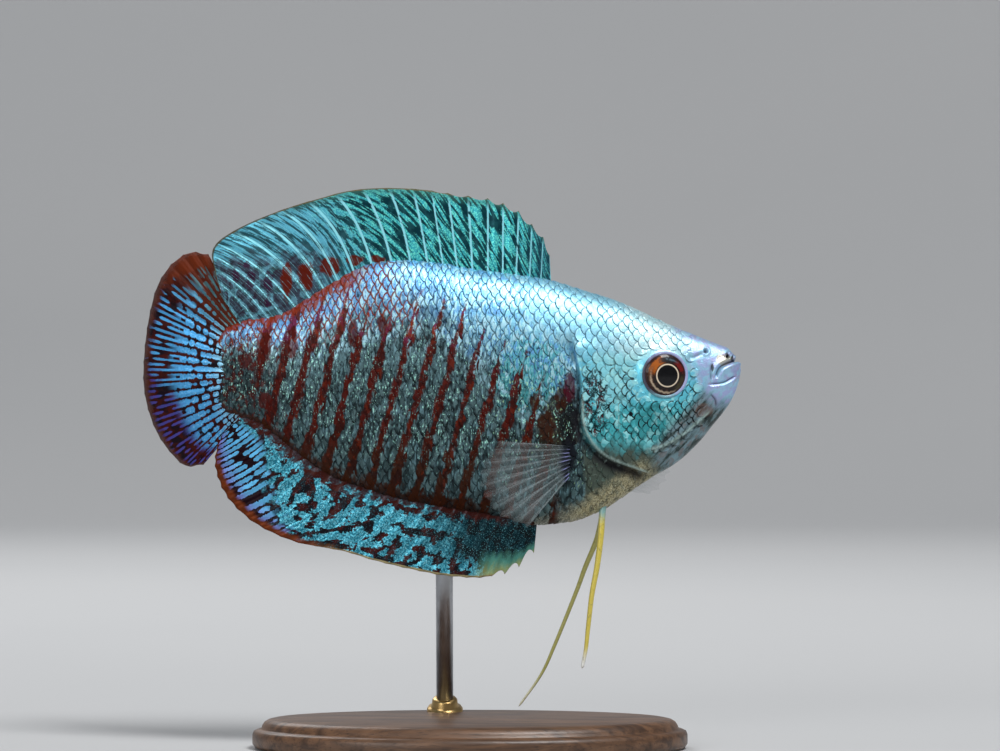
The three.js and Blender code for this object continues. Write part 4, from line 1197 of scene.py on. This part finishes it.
# Tones of the fins
DORSAL = dict(
    pit=(0.004, 0.04, 0.055), teal=(0.012, 0.085, 0.10), rear=(0.03, 0.11, 0.14), front=(0.02, 0.08, 0.12),
    stroke=(0.04, 0.42, 0.50), glint=(0.16, 0.80, 0.70), rear_glint=(0.13, 0.46, 0.66),
    check_dark=(0.035, 0.065, 0.07), check=(0.14, 0.32, 0.42), tile=(0.030, 0.010, 0.028),
    red=(0.12, 0.010, 0.002), violet=(0.035, 0.006, 0.030), ray=(0.34, 0.88, 1.0),
    margin=(0.05, 0.14, 0.10), edge=(0.13, 0.10, 0.04),
)
ANAL = dict(
    black=(0.006, 0.005, 0.008), maroon=(0.045, 0.005, 0.004), blue=(0.018, 0.20, 0.29),
    sky=(0.11, 0.54, 0.70), vein=(0.01, 0.07, 0.10), glint=(0.45, 0.92, 1.0), speck=(0.06, 0.30, 0.40),
    rear=(0.012, 0.003, 0.006), dash=(0.14, 0.52, 0.86), violet_dash=(0.20, 0.22, 0.62),
    front=(0.002, 0.010, 0.014), front_speck=(0.12, 0.38, 0.44), lobe=(0.08, 0.28, 0.22),
    lobe_tip=(0.36, 0.40, 0.15), root=(0.06, 0.008, 0.004), rim=(0.34, 0.28, 0.14),
    rear_rim=(0.14, 0.028, 0.006),
)
TAIL = dict(
    black=(0.008, 0.003, 0.007), maroon=(0.050, 0.005, 0.003), brown_rim=(0.07, 0.012, 0.005),
    red_rim=(0.16, 0.024, 0.005), pale=(0.40, 0.78, 0.95), sky=(0.10, 0.46, 0.90), low=(0.06, 0.26, 0.52),
    violet=(0.08, 0.07, 0.36), glint=(0.50, 0.85, 1.0), shade=(0.03, 0.14, 0.30), top=(0.07, 0.15, 0.13),
    root_teal=(0.07, 0.14, 0.16), root_red=(0.07, 0.006, 0.003),
)


def dorsal_paint():
    """Thin bright rays over dark teal panels with fine slanting turquoise strokes. The rear has pale
    checks, dark tiles, and red and violet blots along its root. The margin is olive."""
    p = Paint("gourami_dorsal_fin", Specular_IOR_Level=0.1, Coat_Roughness=0.2)
    here = p.place()
    ray, reach, streaks = ray_marks(p)
    patchy = p.noise(here, 0.9, 3.0) - 0.5
    grain = p.noise(here, 5.0, 2.0)
    front = p.step(ray, 4.0, 0.5)
    rear_part = p.step(ray + patchy * 3, 11.0, 14.0)
    rear = p.step(p.x + patchy * 3, -12.5, -17.5) * p.step(p.z + patchy * 4 - p.x * 0.1, 19.0, 15.5)

    # The strokes slant more in front, where each panel is shaded behind its ray
    past_ray = p.math("FRACT", ray + 0.5) - 0.5
    front_weave = p.noise(p.join((ray - reach * 2.8) * 4.0, reach * 3.5), 1.0, 3.0, 0.3)
    rear_weave = p.noise(p.join((ray - reach * 0.5) * 7.0, reach * 3.5), 1.0, 3.0, 0.3)
    shaded = p.step(past_ray, 0.02, 0.12) * p.step(past_ray, 0.45, 0.2) * (1 - rear_part)
    slant = front_weave * (1 - rear_part) + rear_weave * rear_part - shaded * 0.07
    ground = p.mix(p.step(patchy, -0.1, 0.15), DORSAL["pit"], DORSAL["teal"])
    bright = p.mix(p.step(grain, 0.45, 0.6), DORSAL["stroke"], DORSAL["glint"])
    bright = p.mix(rear_part * 0.8, bright, DORSAL["rear_glint"])
    checks = p.step(p.noise(p.join(ray * 1.6, reach * 13.0), 1.0, 2.0), 0.42, 0.60)
    tiles = dashes(p, ray, 1.0, reach * 6.5, 0.30, patchy * 0.8 + (grain - 0.5) * 0.7)
    colour = p.layers(
        ground,
        (rear_part * 0.7, DORSAL["rear"]),
        (p.step(slant + (grain - 0.5) * 0.12, 0.45, 0.54), bright),
        (front * 0.55, DORSAL["front"]),
        (rear * 0.75, p.mix(checks, DORSAL["check_dark"], DORSAL["check"])),
        (tiles * rear * 0.75, DORSAL["tile"]),
    )
    colour = p.spots(colour, DORSAL_BLOTS, patchy * 1.4, 0.95, DORSAL["red"])
    colour = p.spots(colour, VIOLET_BLOTS, patchy * 2.2, 0.85, DORSAL["violet"])

    # Bright rays, with finer lines between them at the rear
    off_ray = p.math("ABSOLUTE", past_ray + streaks * 0.03)
    line = p.step(off_ray, 0.075, 0.035) * p.step(reach, 1.0, 0.8) * p.step(slant + streaks, 0.26, 0.38)
    between = p.math("PINGPONG", ray + streaks * 0.03, 0.125) * 4
    fine = p.step(between, 0.42, 0.5) * rear_part * p.step(slant + streaks, 0.40, 0.52) * 0.6
    line = p.larger(line * (0.95 - front * 0.3), fine)
    line = line * (1 - rear * p.step(grain + patchy, 0.55, 0.45) * 0.7)
    dull = p.step(reach + streaks * 0.1, 0.84, 0.96) * p.step(ray, 16.0, 12.0)
    colour = p.layers(
        colour,
        (line, DORSAL["ray"]),
        (dull * 0.5, DORSAL["margin"]),
        (p.step(reach, 0.968, 0.982) * 0.85, DORSAL["edge"]),
    )
    return p.finish(Base_Color=colour, Metallic=(1 - dull) * 0.35, Roughness=0.34 + streaks * 0.2,
                    normal_height=grain)


def anal_paint():
    """Turquoise marbling over maroon and near black, blue dashes at the rear, a red-brown rim there, a
    cream line along the middle of the margin, and a dark front with pale green lobes."""
    p = Paint("gourami_anal_fin", Specular_IOR_Level=0.1, Coat_Roughness=0.2)
    here = p.place()
    ray, reach, streaks = ray_marks(p)
    patchy = p.noise(here, 0.9, 3.0) - 0.5
    grain = p.noise(here, 3.6, 2.0)
    fine = p.noise(here, 7.0, 2.0)
    flecks = p.noise(p.join(ray * 1.2, reach * 6.0), 1.0, 2.0, 0.5)
    marble = p.step(flecks + (grain - 0.5) * 0.20 - p.step(reach, 0.55, 0.9) * 0.03, 0.46, 0.50)
    ground = p.mix(p.step(patchy, -0.05, 0.1), ANAL["black"], ANAL["maroon"])
    blue = p.mix(p.step(grain, 0.42, 0.62), ANAL["blue"], ANAL["sky"])
    blue = p.mix(p.step(fine, 0.46, 0.36) * 0.7, blue, ANAL["vein"])
    ragged = (grain - 0.5) * 1.3 + (fine - 0.5) * 0.8
    long_dash = dashes(p, ray, 2.0, reach * 5.0, 0.34, ragged)
    dash_colour = p.mix(p.step(reach + streaks * 0.3, 0.65, 0.95), ANAL["dash"], ANAL["violet_dash"])
    outer = p.step(ray + reach * 9 + patchy * 5, 23.0, 25.0) * p.step(reach, 0.12, 0.3)
    front = p.step(ray + reach * 2 + patchy * 4, 12.0, 6.0) * p.step(reach, 0.88, 0.62)
    lobes = p.step(ray, 5.0, 3.4) * p.step(reach + streaks * 0.3, 0.5, 0.75)
    lobe_colour = p.mix(p.step(reach + streaks * 0.3, 0.7, 1.0), ANAL["lobe"], ANAL["lobe_tip"])
    root = p.step(reach + patchy * 0.5, 0.14, 0.04) * p.step(ray, 2, 5)
    rim_colour = p.mix(p.step(ray, 11, 15), ANAL["rim"], ANAL["rear_rim"])
    brown = p.step(ray + patchy * 4, 12, 16) * p.step(reach + streaks * 0.08, 0.86, 0.93)
    colour = p.layers(
        ground,
        (marble, blue),
        (p.step(fine, 0.58, 0.66) * marble * 0.7, ANAL["glint"]),
        (p.step(fine, 0.60, 0.68) * (1 - marble) * 0.4, ANAL["speck"]),
        (outer, p.mix(long_dash, ANAL["rear"], dash_colour)),
        (front * 0.93, ANAL["front"]),
        (front * p.step(fine, 0.61, 0.67), ANAL["front_speck"]),
        (lobes * 0.9, lobe_colour),
        (root * 0.9, ANAL["root"]),
        (p.step(reach + streaks * 0.02, 0.955, 0.97), rim_colour),
        (brown * p.step(ray, 26, 22), rim_colour),
    )
    return p.finish(Base_Color=colour, Metallic=marble * 0.35, Roughness=0.34 + streaks * 0.2,
                    normal_height=grain, distance=0.06)


def caudal_paint():
    """Maroon with rows of sky-blue dashes, short at the root and parted in two further out, where they
    turn violet low at the margin. The rim is broad and red above and brown elsewhere."""
    p = Paint("gourami_tail_fin", Specular_IOR_Level=0.1, Coat_Roughness=0.2)
    here = p.place()
    ray, reach, streaks = ray_marks(p)
    patchy = p.noise(here, 0.9, 3.0) - 0.5
    grain = p.noise(here, 4.0, 2.0)
    top = p.step(ray + reach * 1.5 + patchy * 2, 6.6, 3.0)
    low = p.step(ray + patchy * 4, 8.0, 13.0) * 0.3
    outer = p.step(reach + streaks * 0.20 + patchy * 0.1 + top * 0.16, 0.90, 0.97)
    ground = p.mix(p.step(patchy, -0.1, 0.1), TAIL["black"], TAIL["maroon"])
    rim_colour = p.mix(top, TAIL["brown_rim"], TAIL["red_rim"])
    along = p.math("POWER", p.larger(reach, 0.001), 0.6) * 19
    ragged = (grain - 0.5) * 1.4 + patchy * 0.6
    dash = dashes(p, ray, 1.35, along, 0.36 - top * 0.16, ragged) * p.step(reach, 0.76, 0.60)
    fine = dashes(p, ray, 2.7, reach * 7.0, 0.25, ragged * 0.7) * p.step(reach, 0.54, 0.64)
    dash = p.larger(dash, fine * 0.85) * (1 - outer) * p.step(reach, 0.01, 0.05)
    blue = p.layers(
        TAIL["pale"],
        (p.step(reach, 0.10, 0.40), TAIL["sky"]),
        (low * 1.6, TAIL["low"]),
        (p.step(reach + streaks * 0.25 + low, 0.86, 1.04), TAIL["violet"]),
        (p.step(grain, 0.56, 0.66) * p.step(reach, 0.7, 0.5) * 0.5, TAIL["glint"]),
        (p.step(grain, 0.44, 0.34) * 0.4, TAIL["shade"]),
        (top * 0.9, TAIL["top"]),
    )
    root = p.step(reach + patchy * 0.14, 0.13, 0.04)
    root_colour = p.mix(p.step(patchy, 0.0, 0.06), TAIL["root_teal"], TAIL["root_red"])
    rim = p.larger(outer, top * 0.6)
    colour = p.layers(ground, (rim, rim_colour), (dash, blue), (root * 0.8, root_colour))
    clear = p.step(reach + streaks * 0.05, 0.90, 1.0)
    return p.finish(Base_Color=colour, Metallic=dash * 0.35, Roughness=0.34 + streaks * 0.2,
                    Alpha=1 - clear * 0.3, normal_height=grain)


make_fin("dorsal_fin_membrane", FINS["dorsal"], dorsal_paint(), columns=10)
make_fin("anal_fin_membrane", FINS["anal"], anal_paint(), columns=9)
make_fin("tail_fin_membrane", FINS["caudal"], caudal_paint(), columns=11, rows=56)

# The side fins fan out from a short line behind the gill slit. The right one trails, the left one is
# swung forwards.
PECTORAL_ROOT = {"x": 16.9, "top": -10.3, "step": -1.05}
PECTORAL_TIPS = {
    RIGHT: [[7.7, -12.2, -9.5], [5.5, -13.2, -12.6], [5.5, -13.4, -16], [7.7, -12.6, -19.2],
            [11.6, -11.2, -21]],
    LEFT: [[29, 10.6, -9], [31.2, 11.8, -11.8], [31, 12.4, -14.7], [28.8, 12.4, -17], [25.4, 11.8, -16.6]],
}
SIDE_FIN = dict(
    web=(0.22, 0.27, 0.28), ray=(0.42, 0.50, 0.52), root=(0.004, 0.005, 0.018), glint=(0.40, 0.42, 0.85),
)


def side_fin_paint():
    """Nearly clear grey membrane with milky rays and a dark violet root, partly painted shade where the fin
    meets the body, with painted glints on its rays there.
    """
    p = Paint("gourami_side_fin", Specular_IOR_Level=0.1)
    ray, reach, streaks = ray_marks(p)
    ridge = p.value_of("ridge")
    root = p.step(reach + streaks * 0.1, 0.14, 0.04)
    colour = p.layers(
        SIDE_FIN["web"],
        (ridge, SIDE_FIN["ray"]),
        (root * 0.9, SIDE_FIN["root"]),
        (root * ridge * p.step(streaks, -0.02, 0.08), SIDE_FIN["glint"]),
    )
    faded = p.step(reach + streaks * 0.3, 1.05, 0.75)
    alpha = 0.04 + faded * 0.11 + ridge * p.step(reach, 1.0, 0.2) * 0.16 + root * 0.7
    return p.finish(Base_Color=colour, Roughness=0.3 + streaks * 0.1, Alpha=alpha, normal_height=streaks)


def side_fin(side):
    """A side fin's lines: roots down the flank, tips of its own, bowed outwards."""
    tips = np.array(PECTORAL_TIPS[side], float)
    z = PECTORAL_ROOT["top"] + PECTORAL_ROOT["step"] * np.arange(len(tips))
    x = np.full(len(tips), PECTORAL_ROOT["x"])
    roots = np.stack([x, side * half_width_at(x, z), z], -1)
    return {"roots": roots, "tips": tips, "rays": 10, "fork": 0.14, "joints": 26, "pleat": 0.05,
            "arch": lambda u: np.stack([0 * u, 0 * u + side * 0.8, 0 * u], -1),
            "notch": lambda u: 0.04 + 0 * u, "replaces": (f"pectoral_fin_{WORD[side]}",)}


side_fin_material = side_fin_paint()
for side in (RIGHT, LEFT):
    make_fin(f"side_fin_{WORD[side]}", side_fin(side), side_fin_material, columns=10, rows=30)

# The pelvic fins are two long threads from under the breast
FEELER_ROUTES = {
    RIGHT: [[21.9, -0.9, -17.2], [21.6, -1.2, -19.6], [21.4, -1.6, -22.5], [20.9, -1.9, -26.4],
            [20.2, -2.1, -30.2], [19.7, -2.3, -34.5], [19.4, -2.4, -37.3], [18.9, -2.4, -39.9]],
    LEFT: [[22, 0.9, -17.2], [21.6, 1.3, -20], [20.9, 1.8, -23], [19.4, 2.3, -26.7], [18.2, 2.6, -30],
           [15.3, 3, -37.2], [13.5, 3.2, -41.1], [10.5, 3.4, -45.4]],
}
# Each thread's colour, its paler tip, and its radius at the root and at the tip. Both have the same root.
FEELERS = {
    RIGHT: {"name": "yellow", "tone": (0.62, 0.50, 0.07), "tip": (0.85, 0.85, 0.80), "radii": (0.46, 0.22)},
    LEFT: {"name": "olive", "tone": (0.36, 0.34, 0.09), "tip": (0.6, 0.58, 0.4), "radii": (0.42, 0.14)},
}
FEELER_ROOT, FEELER_SPECK = (0.24, 0.44, 0.42), (0.10, 0.10, 0.05)
FEELER_GRID = {"stations": 120, "sides": 14}


def feeler_paint(feeler):
    """A thread, turquoise and speckled at its root, then its own colour, paler at the tip."""
    p = Paint(f"gourami_feeler_{feeler['name']}", Coat_Weight=0.5, Coat_Roughness=0.15)
    reach = p.value_of("reach")
    specks = p.noise(p.place(), 2.6, 3.0)
    colour = p.layers(
        FEELER_ROOT,
        (p.step(reach + specks * 0.1, 0.15, 0.28), feeler["tone"]),
        (p.step(reach, 0.82, 0.98), feeler["tip"]),
        (p.step(specks, 0.56, 0.7) * 0.35, FEELER_SPECK),
    )
    return p.finish(Base_Color=colour, Roughness=0.35 + specks * 0.15, normal_height=specks, distance=0.06)


def make_feeler(side):
    """A tube along the route, its radius going from thick to fine, round at the tip."""
    feeler = FEELERS[side]
    thick, fine = feeler["radii"]
    share = np.linspace(0, 1, FEELER_GRID["stations"])
    path = spline(FEELER_ROUTES[side], share)
    along = unit(np.gradient(path, axis=0))
    first = unit(np.cross(along, [0, 1.0, 0]))
    second = np.cross(along, first)
    radius = (thick + (fine - thick) * share**1.3) * np.sqrt(np.clip((1 - share) * 60, 0.02, 1))
    angle = circle(FEELER_GRID["sides"])[None, :, None]
    round_way = np.cos(angle) * first[:, None, :] + np.sin(angle) * second[:, None, :]
    points, faces = capped(path[:, None, :] + radius[:, None, None] * round_way, path[[0, -1]])
    values = {"reach": np.append(np.repeat(share, FEELER_GRID["sides"]), [0, 1])}
    node = f"pelvic_feeler_{WORD[side]}"
    make_piece(f"feeler_{WORD[side]}", points, faces, feeler_paint(feeler), (node,), values)


for side in (RIGHT, LEFT):
    make_feeler(side)

# The stand: an oval walnut base with a moulded edge, and a leaning steel rod in a brass collar. The rod has
# its top inside the body and its foot sunk into the base.
base_low, base_high = (np.array(corner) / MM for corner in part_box("stand_base"))
BASE_HALF = (base_high - base_low)[:2] / 2
BASE_TOP = base_high[2] - FISH_ORIGIN[2]
ROD = {"radius": 1.15, "x": 0.5, "top_y": 1.1, "top_z": -13.2, "lean": 0.34, "sunk": 0.5}
# The base's edge as (inset, height), and the collar's outside as (reach beyond the rod, height)
BASE_PROFILE = [[1.1, 0], [0.35, 0.18], [0, 0.7], [0, 1.9], [0.18, 2.35], [0.62, 2.55], [1.05, 2.6],
                [1.2, 2.75], [1.3, 3.1], [1.6, 3.55], [2.1, 3.85], [2.8, 4.0]]
COLLAR_PROFILE = [[1.3, -0.3], [1.3, 0.35], [1.15, 0.6], [0.8, 0.72], [0.62, 1.0], [0.55, 1.7], [0.35, 1.95],
                  [0, 2.0]]
STAND_SIDES = {"base": 160, "rod": 40, "collar": 48}
WALNUT = dict(dark=(0.055, 0.026, 0.013), light=(0.17, 0.085, 0.042), pore=(0.025, 0.012, 0.007))
STEEL = {"tone": (0.42, 0.43, 0.45), "dark": (0.34, 0.35, 0.37), "roughness": 0.3}
BRASS = {"tone": (0.72, 0.50, 0.22), "dark": (0.55, 0.36, 0.14), "roughness": 0.25}


def wood_paint():
    """Oiled walnut: long grain along X, darker pores and a satin finish."""
    p = Paint("stand_walnut", Coat_Weight=0.25, Coat_Roughness=0.25)
    p.place()
    rings = p.noise(p.join(p.x * 0.05, p.y * 0.5, p.z * 0.5), 1.2, 5.0, 1.2)
    pores = p.noise(p.join(p.x * 0.35, p.y * 5.0, p.z * 5.0), 1.0, 3.0)
    colour = p.layers(
        WALNUT["dark"],
        (p.step(rings, 0.3, 0.7), WALNUT["light"]),
        (p.step(pores, 0.56, 0.68) * 0.6, WALNUT["pore"]),
    )
    return p.finish(Base_Color=colour, Roughness=0.36 + pores * 0.2, normal_height=pores, distance=0.08)


def metal_paint(name, metal):
    """Brushed metal with fine lines along Z."""
    p = Paint(name, Metallic=1.0)
    here = p.place()
    lines = p.noise(p.join(p.x * 6, p.y * 6, p.z * 0.4), 1.0, 2.0)
    cloud = p.noise(here, 0.5, 2.0)
    shade = p.mix(p.step(cloud, 0.35, 0.7), metal["tone"], metal["dark"])
    roughness = metal["roughness"] + lines * 0.15
    return p.finish(Base_Color=shade, Roughness=roughness, normal_height=lines, distance=0.02)


def make_base():
    """An oval carried down an edge profile of (inset, height), closed in the middle."""
    profile = np.array(BASE_PROFILE, float)
    angle = circle(STAND_SIDES["base"])
    reach = BASE_HALF[None, None, :] - profile[:, :1, None]
    oval = reach * np.stack([np.cos(angle), np.sin(angle)], -1)[None]
    height = np.broadcast_to(profile[:, 1, None, None], (*oval.shape[:2], 1))
    ends = [[0, 0, profile[0, 1]], [0, 0, profile[-1, 1]]]
    points, faces = capped(np.concatenate([oval, height], -1), ends)
    make_piece("walnut_base", points, faces, wood_paint(), ("stand_base",), origin=np.zeros(3))


def make_rod():
    """The rod and its collar, turned round the rod's leaning axis."""
    axis = np.array([0, -ROD["lean"], 1.0])
    top = np.array([ROD["x"], ROD["top_y"], ROD["top_z"]])
    foot = top - axis * (ROD["top_z"] - BASE_TOP)
    length = np.linalg.norm(top - foot)
    radius = ROD["radius"]
    rod = [[0, -ROD["sunk"]], [radius, -ROD["sunk"]], [radius, length], [0, length]]
    points, faces = turned(rod, foot, axis, (1, 0, 0), STAND_SIDES["rod"])
    make_piece("steel_rod", points, faces, metal_paint("stand_steel", STEEL), ("stand_rod",))
    edge = np.array(COLLAR_PROFILE) + [radius, 0]
    collar = np.vstack([edge[:1] * [0, 1], edge, edge[-1:] * [0, 1]])
    points, faces = turned(collar, foot, axis, (1, 0, 0), STAND_SIDES["collar"])
    make_piece("brass_collar", points, faces, metal_paint("stand_brass", BRASS))


make_base()
make_rod()

# Stage: a pale floor that rises all round into a wide bowl
STAGE = {"flat": 900.0, "rise": 700.0, "height": 900.0, "sides": 96}
PAPER = dict(dark=(0.52, 0.53, 0.54), light=(0.56, 0.565, 0.57))


def make_stage():
    """A bowl turned round Z: flat to its radius, then a quarter of an ellipse."""
    p = Paint("studio_paper", Roughness=0.9)
    cloud = p.noise(p.place(), 0.004, 2.0)
    paper = p.finish(Base_Color=p.mix(cloud, PAPER["dark"], PAPER["light"]))
    bend = np.linspace(0, np.pi / 2, 24)
    flat = np.linspace(0.02, 1, 12) * STAGE["flat"]
    radius = np.concatenate([flat, STAGE["flat"] + STAGE["rise"] * np.sin(bend[1:])])
    height = np.concatenate([0 * flat, STAGE["height"] * (1 - np.cos(bend[1:]))])
    sides = STAGE["sides"]
    angle = circle(sides)
    ring = np.stack([np.cos(angle), np.sin(angle)], -1)
    heights = np.broadcast_to(height[:, None, None], (len(radius), sides, 1))
    points = np.concatenate([radius[:, None, None] * ring, heights], -1)
    middle = len(radius) * sides
    quads = grid_quads(len(radius), sides, closed=True)[:, ::-1]
    fan = np.stack([np.full(sides, middle), np.arange(sides), np.roll(np.arange(sides), -1)], -1)
    place = np.vstack([points.reshape(-1, 3), [[0, 0, 0]]]) * MM
    floor = new_object("studio_floor", place, [quads, fan], paper)


def make_light(name, place, target, size, power):
    """A square soft light at a place in metres, turned to its target."""
    lamp = bpy.data.lights.new(name, "AREA")
    lamp.size, lamp.energy = size, power
    light = bpy.data.objects.new(name, lamp)
    light.location = place
    way = (np.array(target) - place).tolist()
    light.rotation_mode = "QUATERNION"
    light.rotation_quaternion = mathutils.Vector(way).to_track_quat("-Z", "Y")
    light.visible_camera = False
    bpy.context.scene.collection.objects.link(light)


make_stage()
MIDDLE = (0.0, 0.0, 0.045)
make_light("key_above", (0.26, -0.40, 0.74), MIDDLE, 0.3, 5.8)
make_light("fill_front", (-0.55, -0.85, 0.4), MIDDLE, 0.5, 2.9)
make_light("edge_behind", (-0.3, 0.55, 0.6), MIDDLE, 0.4, 1.8)
make_light("wall_light", (0, 0.25, 0.9), (0, 1.5, 0.45), 0.7, 6)
world = bpy.data.worlds.new("studio_air")
world.use_nodes = True
air = world.node_tree.nodes["Background"]
air.inputs["Color"].default_value = (0.85, 0.9, 1.0, 1)
air.inputs["Strength"].default_value = 0.12
bpy.context.scene.world = world
bpy.context.scene.view_settings.view_transform = "Standard"

# Camera, level and square to the fish, with the photograph's scale at the fish's middle plane
PHOTO = {"width": 1000, "height": 751, "axis_x": 440.0, "axis_y": 368.0, "per_mm": 7.5}
CAMERA = {"distance": 600.0, "sensor": 36.0}
lens = bpy.data.cameras.new("camera")
lens.sensor_width = CAMERA["sensor"]
lens.lens = CAMERA["distance"] * CAMERA["sensor"] * PHOTO["per_mm"] / PHOTO["width"]
camera = bpy.data.objects.new("camera", lens)
aim = FISH_ORIGIN + [
    (PHOTO["width"] / 2 - PHOTO["axis_x"]) / PHOTO["per_mm"],
    -CAMERA["distance"],
    (PHOTO["axis_y"] - PHOTO["height"] / 2) / PHOTO["per_mm"],
]
camera.location = (aim * MM).tolist()
camera.rotation_euler = (np.pi / 2, 0, 0)
bpy.context.scene.collection.objects.link(camera)
bpy.context.scene.camera = camera
